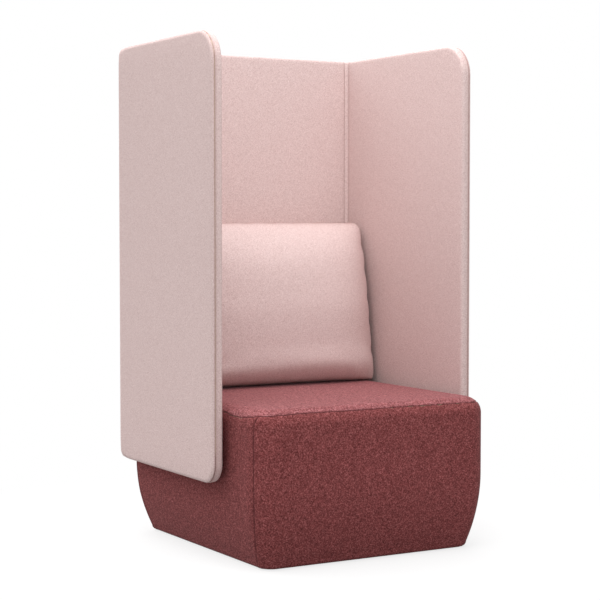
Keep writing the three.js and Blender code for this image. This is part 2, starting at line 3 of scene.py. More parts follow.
import bpy
import numpy as np
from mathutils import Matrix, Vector


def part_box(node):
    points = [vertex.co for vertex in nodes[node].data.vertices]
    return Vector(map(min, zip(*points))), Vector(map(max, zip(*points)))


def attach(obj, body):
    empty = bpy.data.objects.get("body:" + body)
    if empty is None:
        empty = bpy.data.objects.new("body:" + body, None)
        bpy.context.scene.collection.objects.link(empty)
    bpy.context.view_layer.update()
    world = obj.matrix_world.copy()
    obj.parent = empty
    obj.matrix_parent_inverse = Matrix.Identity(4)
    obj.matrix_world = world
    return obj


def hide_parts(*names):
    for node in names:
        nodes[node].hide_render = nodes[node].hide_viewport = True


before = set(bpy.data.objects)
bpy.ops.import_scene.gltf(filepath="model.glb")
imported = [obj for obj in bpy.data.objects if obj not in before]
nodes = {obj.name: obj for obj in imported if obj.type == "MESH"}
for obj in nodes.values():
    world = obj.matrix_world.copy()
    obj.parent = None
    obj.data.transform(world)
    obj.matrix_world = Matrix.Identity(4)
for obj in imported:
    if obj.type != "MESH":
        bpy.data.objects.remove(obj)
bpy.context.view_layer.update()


# Camera
# The photograph was taken from the sitter's right, a little above the seat, with a long lens. Its place
# and angle were fitted to the chair's own edges.
view_turn = math.radians(30.28)
view_drop = math.radians(2.69)
camera_data = bpy.data.cameras.new("camera")
camera_data.sensor_width = 36
camera_data.lens = 97.95
camera = bpy.data.objects.new("camera", camera_data)
camera.location = (-2.4074, -4.1029, 0.9197)
camera.rotation_euler = (math.pi / 2 - view_drop, 0, -view_turn)
bpy.context.scene.collection.objects.link(camera)
bpy.context.scene.camera = camera


# Frame and screen boards
# The base is a box of 18 mm birch plywood boards with beech blocks glued into its corners and a floor
# board. Each wall of the screen has a thin plywood board, joined at the rear corners by beech posts.
# Bolts through steel sleeves hold the side walls off the frame. All of it is out of sight.

millimetre = 0.001


def linear(hex_colour):
    """A colour written in hex, as the shader's linear values."""
    channels = [int(hex_colour[i : i + 2], 16) / 255 for i in (1, 3, 5)]
    return tuple(c / 12.92 if c <= 0.04045 else ((c + 0.055) / 1.055) ** 2.4 for c in channels) + (1,)


def add_node(tree, kind, settings=None, links=None):
    """One node, with its settings, socket values and colour stops, and what its sockets are linked to."""
    node = tree.nodes.new(kind)
    for name, value in (settings or {}).items():
        if name == "stops":
            elements = node.color_ramp.elements
            for i, (place, colour) in enumerate(value):
                element = elements[i] if i < 2 else elements.new(place)
                element.position = place
                element.color = linear(colour)
        elif isinstance(name, int) or (name in node.inputs and not hasattr(node, name)):
            node.inputs[name].default_value = value
        else:
            setattr(node, name, value)
    for name, source in (links or {}).items():
        tree.links.new(source, node.inputs[name])
    return node


def new_material(name):
    """An empty node material, with its tree and the coordinates of the piece that wears it."""
    material = bpy.data.materials.new(name)
    material.use_nodes = True
    tree = material.node_tree
    tree.nodes.clear()
    return material, tree, add_node(tree, "ShaderNodeTexCoord").outputs


def finish_material(tree, surface, colour, normal):
    """The surface shader, at the end of a material."""
    shader = add_node(tree, "ShaderNodeBsdfPrincipled", surface, {"Base Color": colour, "Normal": normal})
    add_node(tree, "ShaderNodeOutputMaterial", {}, {"Surface": shader.outputs["BSDF"]})


def patterned_material(name, pattern, stops, relief, surface, stretch=None):
    """A material whose colours and bumps follow one pattern. The pattern is a texture, its settings and
    its output. The relief is the strength and depth of the bumps."""
    material, tree, coordinates = new_material(name)
    place = coordinates["Object"]
    if stretch:
        drawn = add_node(tree, "ShaderNodeVectorMath", {"operation": "MULTIPLY", 1: stretch}, {0: place})
        place = drawn.outputs[0]
    texture, settings, output = pattern
    strength, depth = relief
    height = add_node(tree, texture, settings, {"Vector": place}).outputs[output]
    colour = add_node(tree, "ShaderNodeValToRGB", {"stops": stops}, {"Fac": height})
    bump = add_node(tree, "ShaderNodeBump", {"Strength": strength, "Distance": depth}, {"Height": height})
    finish_material(tree, surface, colour.outputs["Color"], bump.outputs["Normal"])
    return material


def birch_plywood(thin_axis):
    """Sanded birch plywood: pale faces with faint streaks, and edges striped by plies that show end
    grain and long grain in turn. The plies are 1.5 mm, dull, and feel slightly rough."""
    ply = 1.5 * millimetre
    long_axis = "x" if thin_axis == "z" else "z"
    stretch = tuple(0.06 if axis == long_axis else 1.0 for axis in "xyz")
    material, tree, coordinates = new_material("birch_plywood_" + thin_axis)
    place = coordinates["Object"]
    drawn = add_node(tree, "ShaderNodeVectorMath", {"operation": "MULTIPLY", 1: stretch}, {0: place})
    streaks = {"Scale": 1 / (4 * millimetre), "Detail": 3.0}
    grain = add_node(tree, "ShaderNodeTexNoise", streaks, {"Vector": drawn.outputs[0]}).outputs["Fac"]
    face_stops = {"stops": ((0.3, "#C9A877"), (0.7, "#E2C79B"))}
    face = add_node(tree, "ShaderNodeValToRGB", face_stops, {"Fac": grain})
    across = add_node(tree, "ShaderNodeSeparateXYZ", {}, {0: place}).outputs[thin_axis.upper()]
    depth = add_node(tree, "ShaderNodeMath", {"operation": "PINGPONG", 1: ply}, {0: across})
    share = add_node(tree, "ShaderNodeMath", {"operation": "MULTIPLY", 1: 1 / ply}, {0: depth.outputs[0]})
    edge_stops = {"stops": ((0.45, "#9A7446"), (0.55, "#D9BC8C"))}
    edge = add_node(tree, "ShaderNodeValToRGB", edge_stops, {"Fac": share.outputs[0]})
    normal = add_node(tree, "ShaderNodeSeparateXYZ", {}, {0: coordinates["Normal"]})
    facing = normal.outputs[thin_axis.upper()]
    level = add_node(tree, "ShaderNodeMath", {"operation": "ABSOLUTE"}, {0: facing}).outputs[0]
    is_face = add_node(tree, "ShaderNodeMath", {"operation": "GREATER_THAN", 1: 0.6}, {0: level})
    either = {0: is_face.outputs[0], 6: edge.outputs["Color"], 7: face.outputs["Color"]}
    colour = add_node(tree, "ShaderNodeMix", {"data_type": "RGBA"}, either).outputs[2]
    relief = {"Strength": 0.3, "Distance": 0.2 * millimetre}
    bump = add_node(tree, "ShaderNodeBump", relief, {"Height": grain})
    finish_material(tree, {"Roughness": 0.62, "Specular IOR Level": 0.35}, colour, bump.outputs[0])
    return material


def planed_beech():
    """Planed beech blocks: pinkish brown with short dark flecks along the fibres, left without a finish."""
    flecks = ("ShaderNodeTexNoise", {"Scale": 1 / (4 * millimetre), "Detail": 3.0}, "Fac")
    stops = ((0.28, "#9C6B47"), (0.5, "#C79A73"), (0.75, "#D8B08A"))
    surface = {"Roughness": 0.58, "Specular IOR Level": 0.4}
    along_fibres = (1.0, 1.0, 0.12)
    relief = (0.3, 0.2 * millimetre)
    return patterned_material("planed_beech", flecks, stops, relief, surface, along_fibres)


def zinc_plated_steel():
    """Bright zinc on turned and cold-formed steel: a cool grey metal, a little cloudy where it was
    dipped, with fine scuffs."""
    material, tree, coordinates = new_material("zinc_plated_steel")
    place = {"Vector": coordinates["Object"]}
    cloud, scuffs = [
        add_node(tree, "ShaderNodeTexNoise", {"Scale": 1 / size}, place).outputs["Fac"]
        for size in (5 * millimetre, 0.8 * millimetre)
    ]
    stops = {"stops": ((0.3, "#A9ADB0"), (0.7, "#C6C9CB"))}
    colour = add_node(tree, "ShaderNodeValToRGB", stops, {"Fac": cloud})
    relief = {"Strength": 0.2, "Distance": 0.05 * millimetre}
    bump = add_node(tree, "ShaderNodeBump", relief, {"Height": scuffs})
    finish_material(tree, {"Metallic": 1.0, "Roughness": 0.34}, colour.outputs["Color"], bump.outputs[0])
    return material


def paint(node_names, material):
    """Puts a material on solids that stay as they are."""
    for name in node_names:
        for material_slot in nodes[name].material_slots:
            material_slot.material = material


sides = ("left", "right")
corners = [f"{side}_{end}" for side in sides for end in ("front", "rear")]
steel = zinc_plated_steel()
plywood_on_x = ["frame_left_board", "frame_right_board", "screen_left_board", "screen_right_board"]
paint(plywood_on_x, birch_plywood("x"))
paint(["frame_front_board", "frame_rear_board", "screen_back_board"], birch_plywood("y"))
paint(["frame_floor_board"], birch_plywood("z"))
beech_parts = [f"frame_{corner}_block" for corner in corners]
beech_parts += [f"screen_{side}_corner_post" for side in sides]
paint(beech_parts, planed_beech())
paint([f"{part}_{corner}" for part in ("screen_bolt", "spacer_sleeve") for corner in corners], steel)


# Seat webbing
# Five straps each way of black woven polypropylene webbing, 50 mm wide, pass over and under each other
# and are stapled to the frame's top edge. They carry the foam.


def use_only(piece):
    """Leaves one object selected and active, for the operators that follow."""
    bpy.ops.object.select_all(action="DESELECT")
    piece.select_set(True)
    bpy.context.view_layer.objects.active = piece


def link_mesh(name, mesh):
    """A new object for a mesh, in the scene."""
    piece = bpy.data.objects.new(name, mesh)
    bpy.context.scene.collection.objects.link(piece)
    return piece


def apply_modifier(piece, kind, **settings):
    """Finishes a piece with one modifier, applied to its mesh."""
    use_only(piece)
    bpy.ops.object.modifier_add(type=kind)
    modifier = piece.modifiers[-1]
    for name, value in settings.items():
        setattr(modifier, name, value)
    bpy.ops.object.modifier_apply(modifier=modifier.name)


def smooth_by_angle(degrees):
    """Shades the active piece smooth, but for edges sharper than this."""
    bpy.ops.object.shade_smooth_by_angle(angle=math.radians(degrees))


def shell(piece, thickness, offset=-1):
    """Gives a surface its thickness."""
    apply_modifier(piece, "SOLIDIFY", thickness=thickness, offset=offset)
    smooth_by_angle(40)


def dress(piece, material, body, node_name=None):
    """Gives a finished piece its material and body, and hides the solid that it stands for."""
    piece.data.materials.clear()
    piece.data.materials.append(material)
    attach(piece, body)
    if node_name:
        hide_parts(node_name)


webbing_low, webbing_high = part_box("seat_webbing")
strap_width = 50 * millimetre
strap_thickness = 0.9 * millimetre
straps_each_way = 5
edge_board = 18 * millimetre
webbing_middle = (webbing_low + webbing_high) / 2
webbing_half = (webbing_high - webbing_low) / 2
strap_lift = webbing_half.z - strap_thickness / 2


def strap_centres(half):
    """Where the straps lie across the frame."""
    step = (2 * half - strap_width - 2 * edge_board) / (straps_each_way + 1)
    return [step * (i - (straps_each_way - 1) / 2) for i in range(straps_each_way)]


def woven_straps():
    """The net of straps as one surface: strips that rise and dip as they cross."""
    points = []
    faces = []
    for along, across in ((0, 1), (1, 0)):
        crossings = strap_centres(webbing_half[along])
        pitch = crossings[1] - crossings[0]
        for number, centre in enumerate(strap_centres(webbing_half[across])):
            steps = 80
            for i in range(steps + 1):
                run = webbing_half[along] * (2 * i / steps - 1)
                lift = strap_lift * math.cos(math.pi * (run / pitch + number + along))
                for side in (-1, 1):
                    point = [0, 0, webbing_middle.z + lift]
                    point[along] = webbing_middle[along] + run
                    point[across] = webbing_middle[across] + centre + side * strap_width / 2
                    points.append(point)
                if i < steps:
                    last = len(points) - 2
                    faces.append((last, last + 1, last + 3, last + 2))
    mesh = bpy.data.meshes.new("seat_webbing_straps")
    mesh.from_pydata(points, [], faces)
    return link_mesh("seat_webbing_straps", mesh)


def woven_webbing():
    """Polypropylene webbing: black, faintly shiny, with a fine rib across it where the weft turns."""
    ribs = {"Scale": 1 / (12 * millimetre), "wave_type": "RINGS", "Distortion": 2.0}
    stops = ((0.2, "#1D1C1C"), (0.8, "#35322F"))
    surface = {"Roughness": 0.7, "Specular IOR Level": 0.4}
    relief = (0.5, 0.3 * millimetre)
    return patterned_material("woven_webbing", ("ShaderNodeTexWave", ribs, "Fac"), stops, relief, surface)


webbing = woven_straps()
shell(webbing, strap_thickness, 0)
dress(webbing, woven_webbing(), "chair", "seat_webbing")


# Foam
# Cut blocks of polyurethane foam: a firm seat block with a softer topper, thin sheets round the frame,
# and a sheet on each face of the screen's boards. Their cut edges are soft. The covers hide them, and
# the seat's cover draws its topper a little flatter than it was cut.


def solid_copy(name, node_name):
    """A copy of a solid's mesh with its points joined, in place."""
    mesh = nodes[node_name].data.copy()
    mesh.transform(nodes[node_name].matrix_world)
    mesh.materials.clear()
    piece = link_mesh(name, mesh)
    use_only(piece)
    bpy.ops.object.mode_set(mode="EDIT")
    bpy.ops.mesh.select_all(action="SELECT")
    bpy.ops.mesh.remove_doubles(threshold=0.02 * millimetre)
    bpy.ops.mesh.dissolve_limited(angle_limit=math.radians(1))
    bpy.ops.object.mode_set(mode="OBJECT")
    return piece


def soften_edges(piece, width, segments=2):
    """Rounds a block's sharp edges."""
    apply_modifier(piece, "BEVEL", width=width, segments=segments, angle_limit=math.radians(50))
    smooth_by_angle(35)


def cut_foam():
    """Open-cell polyurethane foam, cream coloured: matt and pitted by small cells."""
    cells = ("ShaderNodeTexVoronoi", {"Scale": 1 / (2.2 * millimetre)}, "Distance")
    stops = ((0.1, "#CFC39B"), (0.6, "#E6DCB8"))
    surface = {"Roughness": 0.95, "Specular IOR Level": 0.1}
    return patterned_material("cut_foam", cells, stops, (0.6, 0.5 * millimetre), surface)


foam = cut_foam()
tight_topper_top = 0.4278
cut_edge_radius = 1.2 * millimetre
foam_nodes = ["seat_foam_block", "seat_foam_topper"]
foam_nodes += [f"base_{side}_foam" for side in ("front", "rear") + sides]
foam_nodes += [f"screen_{wall}_{face}_foam" for wall in sides + ("back",) for face in ("inner", "outer")]
for node_name in foam_nodes:
    block = solid_copy(node_name + "_cut", node_name)
    soften_edges(block, cut_edge_radius)
    if node_name == "seat_foam_topper":
        for vertex in block.data.vertices:
            vertex.co.z = min(vertex.co.z, tight_topper_top)
    dress(block, foam, "chair", node_name)


# Screen, outer covers
# The screen is three upholstered walls in one sleeve of blush melange wool felt. Its outside is cut as
# three panels, the side ones going round the rear corners, and it is sewn to the inside by one seam
# that runs round the whole edge, 8 mm from the outer face.

left_low, left_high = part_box("screen_left_outer_cover")
screen_width = 0.830
screen_thickness = 0.032
screen_front = left_low.y
screen_rear = left_high.y
screen_top = left_high.z
screen_bottom = left_low.z
screen_flare = -left_low.x - screen_width / 2
# The lower front corners are tighter than the upper ones
screen_front_radius = 0.088
screen_foot_radius = 0.056
inner_corner_radius = 0.010
outer_corner_radius = inner_corner_radius + screen_thickness
screen_seam_depth = 0.008
# The outer edge rolls over more softly round the rear corners
rear_softness = 0.5
rear_soft_reach = 0.045
edge_squareness = 4
rear_squareness = 2.2
side_length = screen_rear - screen_front - outer_corner_radius
corner_end = side_length + outer_corner_radius * math.pi / 2
screen_length = 2 * corner_end + screen_width - 2 * outer_corner_radius

# Distance from a seam, how deep the cloth lies there, and how much the seam marks it, going outwards.
# The mark gathers the felt and paints it darker: painted shade, for the shade in the seam's groove.
seam_steps = [
    (0.15 * millimetre, 3.5 * millimetre, 1),
    (0.5 * millimetre, 1.0 * millimetre, 1),
    (1.5 * millimetre, 0.1 * millimetre, 0.45),
    (4 * millimetre, -0.4 * millimetre, 0.08),
    (9 * millimetre, 0, 0),
]
faint_seam_steps = [
    (0.15 * millimetre, 1.5 * millimetre, 0.7),
    (0.5 * millimetre, 0.4 * millimetre, 0.6),
    (1.5 * millimetre, 0, 0.25),
    (4 * millimetre, -0.1 * millimetre, 0.05),
    (9 * millimetre, 0, 0),
]
# How far in on the flat, and how far the padding stands proud there
panel_steps = [
    (3 * millimetre, 0.15 * millimetre),
    (10 * millimetre, 0.5 * millimetre),
    (25 * millimetre, 0.9 * millimetre),
    (44 * millimetre, 1.1 * millimetre),
]


def between(start, end, steps):
    """Evenly spaced values from start to end, both included."""
    return [start + (end - start) * i / steps for i in range(steps + 1)]


def limited(share):
    """A share, kept from 0 to 1."""
    return min(max(share, 0), 1)


def screen_point(along, depth):
    """A place on the screen from above, at a distance along its outer face and a depth in its wall."""
    on_right = along > screen_length / 2
    run = screen_length - along if on_right else along
    flare = screen_flare * (1 - run / side_length)
    x = -screen_width / 2 - flare + depth
    y = screen_front + run
    if run > corner_end:
        x = -screen_width / 2 + outer_corner_radius + run - corner_end
        y = screen_rear - depth
    elif run > side_length:
        turn = (run - side_length) / outer_corner_radius
        reach = outer_corner_radius - depth
        x = -screen_width / 2 + outer_corner_radius - reach * math.cos(turn)
        y = screen_rear - outer_corner_radius + reach * math.sin(turn)
    return (-x if on_right else x), y


def rear_corner_share(along):
    """1 round the rear corners, and 0 on the flat walls."""
    run = min(along, screen_length - along)
    rise = (run - side_length + rear_soft_reach) / rear_soft_reach
    fall = (corner_end + rear_soft_reach - run) / rear_soft_reach
    return limited(min(rise, fall))


def squared(value, squareness):
    """A sine or cosine bent towards a squarer roll: 2 keeps it round."""
    return math.copysign(abs(value) ** (2 / squareness), value)


def wall_point(place, ring):
    """A place on the wall's surface. The ring gives the edge's roll, the way in on the flat and the sink."""
    kind, value, place_sink, _ = place
    angle, run, ring_sink, _ = ring
    inset = ring_sink + place_sink
    roll = screen_thickness / 2 - inset
    share = rear_corner_share(value) if kind in ("top", "bottom") and angle < 0 else 0
    squareness = edge_squareness + (rear_squareness - edge_squareness) * share
    depth = screen_thickness / 2 + roll * squared(math.sin(angle), squareness)
    setback = roll * (1 - squared(math.cos(angle), squareness))
    along = value
    drop = inset + setback * (1 + rear_softness * share) + run
    if kind not in ("top", "bottom"):
        corner_radius = screen_foot_radius if kind == "bottom arc" else screen_front_radius
        radius = max(corner_radius - inset - setback - run, 5 * millimetre)
        turn = value if kind != "front" else 0
        along = corner_radius - radius * math.cos(turn)
        drop = corner_radius - radius * math.sin(turn)
    x, y = screen_point(along, depth)
    z = screen_top - drop
    if kind.startswith("bottom"):
        z = screen_bottom + drop
    elif kind == "front":
        span = screen_top - screen_bottom - screen_front_radius - screen_foot_radius
        z = screen_top - screen_front_radius - span * value
    return Vector((x, y, z))


def cloth_from_rows(name, rows, marks, facing, extra_faces=(), closed=False):
    """A piece of cloth through rows of points, with its seam marks, turned to face a direction."""
    size = len(rows[0])
    faces = []
    for r in range(len(rows) - 1):
        for i in range(size if closed else size - 1):
            here = r * size + i
            beside = r * size + (i + 1) % size
            faces.append((here, beside, beside + size, here + size))
    faces.extend(extra_faces)
    mesh = bpy.data.meshes.new(name)
    mesh.from_pydata([point for row in rows for point in row], [], faces)
    seam = mesh.attributes.new("seam", "FLOAT", "POINT")
    seam.data.foreach_set("value", [mark for row in marks for mark in row])
    area_normal = sum((p.normal * p.area for p in mesh.polygons), Vector())
    if area_normal.dot(Vector(facing)) < 0:
        mesh.flip_normals()
    return link_mesh(name, mesh)


def melange_felt(name, tones, painted_seam_shade, fleck_size, fleck_depth, clumping, fuzz, fuzz_tone):
    """Milled wool felt spun from fibres of several tones: matt, with a short fuzz that lightens at a
    glancing angle, and flecks where darker and paler fibres come to the top. Real fibres are finer than
    a pixel, so the flecks are drawn at a few millimetres, as clumps of fibres look from here. The
    cloth is gathered beside a seam, where the seam attribute is above 0, and painted darker there
    towards the seam tone: painted shade, for the shade in the seam's groove."""
    material, tree, coordinates = new_material(name)
    aslant = {"Rotation": (0.5, 0.8, 0.3)}
    turned = add_node(tree, "ShaderNodeMapping", aslant, {"Vector": coordinates["Object"]})
    flecks, clumps, gathers, fibres = [
        add_node(tree, "ShaderNodeTexNoise", pattern, {"Vector": turned.outputs["Vector"]}).outputs["Fac"]
        for pattern in (
            {"Scale": 1 / fleck_size, "Detail": 3.0, "Roughness": 0.65},
            {"Scale": 1 / (3 * fleck_size), "Detail": 1.0},
            {"Scale": 1 / (7 * millimetre), "Detail": 1.0},
            {"Scale": 1 / (1.4 * millimetre), "Detail": 2.0},
        )
    ]
    stops = {"stops": ((0.30, tones[0]), (0.72, tones[2]), (0.5, tones[1]))}
    melange = add_node(tree, "ShaderNodeValToRGB", stops, {"Fac": flecks}).outputs["Color"]
    spread = {"From Min": 0.3, "From Max": 0.7, "To Min": 1 - clumping, "To Max": 1 + clumping}
    shade = add_node(tree, "ShaderNodeMapRange", spread, {"Value": clumps}).outputs["Result"]
    by_shade = {"data_type": "RGBA", "blend_type": "MULTIPLY", 0: 1.0}
    toned = add_node(tree, "ShaderNodeMix", by_shade, {6: melange, 7: shade}).outputs[2]
    # Painted shade: beside a seam the colour is mixed towards the darker seam tone, for the shade in its
    # groove.
    seam = add_node(tree, "ShaderNodeAttribute", {"attribute_name": "seam"}).outputs["Fac"]
    share = add_node(tree, "ShaderNodeMath", {"operation": "MULTIPLY", 1: 0.75}, {0: seam}).outputs[0]
    by_seam = {"data_type": "RGBA", 7: linear(painted_seam_shade)}
    coloured = add_node(tree, "ShaderNodeMix", by_seam, {0: share, 6: toned}).outputs[2]
    gathered = add_node(tree, "ShaderNodeMath", {"operation": "MULTIPLY"}, {0: gathers, 1: seam})
    normal = None
    for height, strength, depth in (
        (fibres, 0.5, 0.4 * millimetre),
        (flecks, 0.6, fleck_depth),
        (gathered.outputs[0], 0.7, 1.5 * millimetre),
    ):
        links = {"Height": height, "Normal": normal} if normal else {"Height": height}
        bump = add_node(tree, "ShaderNodeBump", {"Strength": strength, "Distance": depth}, links)
        normal = bump.outputs["Normal"]
    surface = {"Roughness": 0.95, "Specular IOR Level": 0.15, "Sheen Weight": fuzz, "Sheen Roughness": 0.35}
    surface["Sheen Tint"] = linear(fuzz_tone)
    finish_material(tree, surface, coloured, normal)
    return material


blush_felt = melange_felt(
    "blush_melange_felt",
    tones=("#BFA09D", "#DCC4C1", "#EFDDDA"),
    # The seam tone is painted shade, for the shade in the seams' grooves.
    painted_seam_shade="#95665F",
    fleck_size=2.4 * millimetre,
    fleck_depth=0.5 * millimetre,
    clumping=0.02,
    fuzz=0.12,
    fuzz_tone="#F3E2DF",
)
felt_thickness = 1.8 * millimetre


def upholster(panel, felt, body, node_name):
    """Gives a panel the felt's thickness, inwards, and dresses it."""
    shell(panel, felt_thickness)
    bpy.ops.object.shade_smooth()
    dress(panel, felt, body, node_name)


seam_angle = -math.asin((1 - 2 * screen_seam_depth / screen_thickness) ** (edge_squareness / 2))
roll_radius = screen_thickness / 2
outer_rings = [(seam_angle - d / roll_radius, 0, sink, mark) for d, sink, mark in seam_steps]
outer_rings += [(math.radians(-turn), 0, 0, 0) for turn in (70, 80, 90)]
outer_rings += [(-math.pi / 2, run, -proud, 0) for run, proud in panel_steps]


def rows_of(places, rings):
    """Rows of points on the wall, one for each ring, and their seam marks."""
    rows = [[wall_point(place, ring) for place in places] for ring in rings]
    marks = [[max(place[3], ring[3]) for place in places] for ring in rings]
    return rows, marks


def seam_places(kind, at, direction, scale=1, steps=seam_steps):
    """Places beside an upright seam, from the seam outwards."""
    return [(kind, at + direction * d * scale, sink, mark) for d, sink, mark in steps]


def plain_places(kind, values):
    """Places away from any upright seam."""
    return [(kind, value, 0, 0) for value in values]


def side_places(end, rear_steps):
    """Places round a side wall's edge, from the rear seam along the top, down the front and back."""
    top = seam_places("top", end, -1, steps=rear_steps)
    first = end - rear_steps[-1][0]
    if end > side_length:
        top += plain_places("top", between(first, side_length, 9)[1:])
    softened = between(side_length, side_length - rear_soft_reach, 5)[1:]
    top += plain_places("top", [along for along in softened if along < first])
    top += plain_places("top", between(softened[-1], screen_front_radius, 22)[1:-1])
    arc = between(math.pi / 2, 0, 10)
    front = plain_places("front", between(0, 1, 40)[1:-1])
    bottom = [("bottom",) + place[1:] for place in reversed(top)]
    return top + plain_places("arc", arc) + front + plain_places("bottom arc", reversed(arc)) + bottom


def mirrored(rows):
    """The same rows on the chair's other side."""
    return [[Vector((-p.x, p.y, p.z)) for p in row] for row in rows]


def side_panels(face, end, rear_steps, rings, left_facing):
    """Both side walls' panels, the right one mirrored from the left. On the flat, their top and bottom
    edges are joined place by place from the rear, and one face fills the front end. The left one faces
    along X, -1 outwards or 1 inwards."""
    front_end_places = 20
    places = side_places(end, rear_steps)
    rows, marks = rows_of(places, rings)
    size = len(places)
    first = (len(rows) - 1) * size
    joined = sum(1 for place in places if place[0] == "top") - front_end_places
    flat = [(first + i, first + i + 1, first + size - 2 - i, first + size - 1 - i) for i in range(joined)]
    flat.append(tuple(first + i for i in range(joined, size - joined)))
    for side, facing, points in (("left", left_facing, rows), ("right", -left_facing, mirrored(rows))):
        name = f"screen_{side}_{face}"
        panel = cloth_from_rows(name + "_felt", points, marks, (facing, 0, 0), flat)
        upholster(panel, blush_felt, "chair", name + "_cover")


def level_panel(name, places, rings, outward, node_name):
    """A panel between two upright seams, from the top seam over the flat to the bottom seam."""
    top, top_marks = rows_of([("top",) + place[1:] for place in places], rings)
    bottom, bottom_marks = rows_of([("bottom",) + place[1:] for place in places], rings)
    panel = cloth_from_rows(name, top + bottom[::-1], top_marks + bottom_marks[::-1], (0, outward, 0))
    upholster(panel, blush_felt, "chair", node_name)


def back_places(beside_seam):
    """Places along the back wall, between its two upright seams."""
    start = seam_places("top", corner_end, 1, steps=beside_seam)
    end = seam_places("top", screen_length - corner_end, -1, steps=beside_seam)[::-1]
    middle = between(start[-1][1], end[0][1], 40)[1:-1]
    return start + plain_places("top", middle) + end


side_panels("outer", corner_end, seam_steps, outer_rings, -1)
level_panel("screen_back_outer_felt", back_places(seam_steps), outer_rings, 1, "screen_back_outer_cover")


# Screen, inner covers
# The inside of the same felt: a panel for each wall, and in each rear corner a narrow upright strip
# between two seams. They roll over the wall's edge to meet the outside at its seam.

inner_rings = [(seam_angle + d / roll_radius, 0, sink, mark) for d, sink, mark in seam_steps]
inner_rings += [(math.radians(turn), 0, 0, 0) for turn in (18, 30, 42, 54, 66, 78, 90)]
inner_rings += [(math.pi / 2, run, -proud / 2, 0) for run, proud in panel_steps]
inner_back = back_places(faint_seam_steps)
side_panels("inner", side_length, faint_seam_steps, inner_rings, 1)
level_panel("screen_back_inner_felt", inner_back, inner_rings, -1, "screen_back_inner_cover")

strip_scale = outer_corner_radius / inner_corner_radius
strip_steps = [(d / 3, sink, mark) for d, sink, mark in faint_seam_steps]
strip_start = seam_places("top", side_length, 1, strip_scale, strip_steps)
strip_end = seam_places("top", corner_end, -1, strip_scale, strip_steps)[::-1]
strip_middle = between(strip_start[-1][1], strip_end[0][1], 6)[1:-1]
strip_places = strip_start + plain_places("top", strip_middle) + strip_end
for side in sides:
    places = strip_places
    if side == "right":
        places = [(kind, screen_length - along, sink, mark) for kind, along, sink, mark in strip_places]
    level_panel(f"screen_{side}_corner_felt", places, inner_rings, -1, f"screen_{side}_corner_strip")


# Base, side covers
# The block seat is upholstered in rose melange felt over foam and a plywood frame. Its four sides are
# drawn in towards the floor, and front and rear panels wrap the corners to upright seams on the sides.
# Their upper seam ripples, and dips where the cloth is pulled down behind the front upright seams.

front_low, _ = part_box("base_front_cover")
side_low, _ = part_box("base_left_cover")
_, rear_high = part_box("base_rear_cover")
base_front = front_low.y
base_rear = rear_high.y
base_half_width = -side_low.x
floor_clearance = front_low.z
edge_top = 0.430
edge_radius = 0.045
seat_crown = 0.0025
draw_in = 0.036
draw_in_height = 0.215
bottom_roll = 0.014
front_corner_radius = 0.066
rear_corner_radius = 0.014
corner_tightening = 0.7
front_seam_setback = 0.040
rear_seam_setback = 0.015
hem_width = 0.026
seam_roll = math.radians(45)
seam_dip = 0.012
seam_dip_behind = 0.105
seam_dip_reach = 0.085
seam_ripple = 0.7 * millimetre
ripple_fine = 0.0063
ripple_mixing = 0.023
ripple_broad = 0.041
ripple_broad_share = 0.6


def drawn_in_at(height):
    """How far the side stands inside the widest outline."""
    low = floor_clearance + bottom_roll
    return draw_in * (1 - limited((height - low) / (draw_in_height - low))) ** 2


def outline_parts(edge):
    """The outline this far inside the widest one: its side, front, rear and corner radii, and the
    lengths of its left half's five parts."""
    side = base_half_width - edge
    front = base_front + edge
    rear = base_rear - edge
    front_radius = max(front_corner_radius - edge * corner_tightening, bottom_roll)
    rear_radius = max(rear_corner_radius - edge * corner_tightening, bottom_roll / 2)
    straight = rear - rear_radius - front - front_radius
    front_arc = front_radius * math.pi / 2
    rear_arc = rear_radius * math.pi / 2
    lengths = (side - front_radius, front_arc, straight, rear_arc, side - rear_radius)
    return side, front, rear, front_radius, rear_radius, lengths


def half_outline(edge, distance):
    """A place on the left half of the outline, from the middle of the front round to the rear."""
    side, front, rear, front_radius, rear_radius, lengths = outline_parts(edge)
    part = 0
    while part < 4 and distance >= lengths[part]:
        distance -= lengths[part]
        part += 1
    if part == 0:
        return -distance, front
    if part == 1:
        turn = distance / front_radius
        return -side + front_radius * (1 - math.sin(turn)), front + front_radius * (1 - math.cos(turn))
    if part == 2:
        return -side, front + front_radius + distance
    if part == 3:
        turn = distance / rear_radius
        return -side + rear_radius * (1 - math.cos(turn)), rear - rear_radius * (1 - math.sin(turn))
    return -side + rear_radius + distance, rear


def outline_marks(edge, height):
    """Distances from the front's middle to the front seam, the rear seam and the rear's middle."""
    _, front, rear, front_radius, rear_radius, lengths = outline_parts(edge)
    after_corner = lengths[0] + lengths[1]
    front_seam = base_front + front_seam_setback + drawn_in_at(height) - front
    rear_seam = base_rear - rear_seam_setback - drawn_in_at(height) - front
    if front_seam < front_radius:
        front_distance = lengths[0] + front_radius * math.acos(limited(1 - front_seam / front_radius))
    else:
        front_distance = after_corner + front_seam - front_radius
    rear_distance = after_corner + min(rear_seam, rear - rear_radius - front) - front_radius
    return front_distance, rear_distance, sum(lengths)


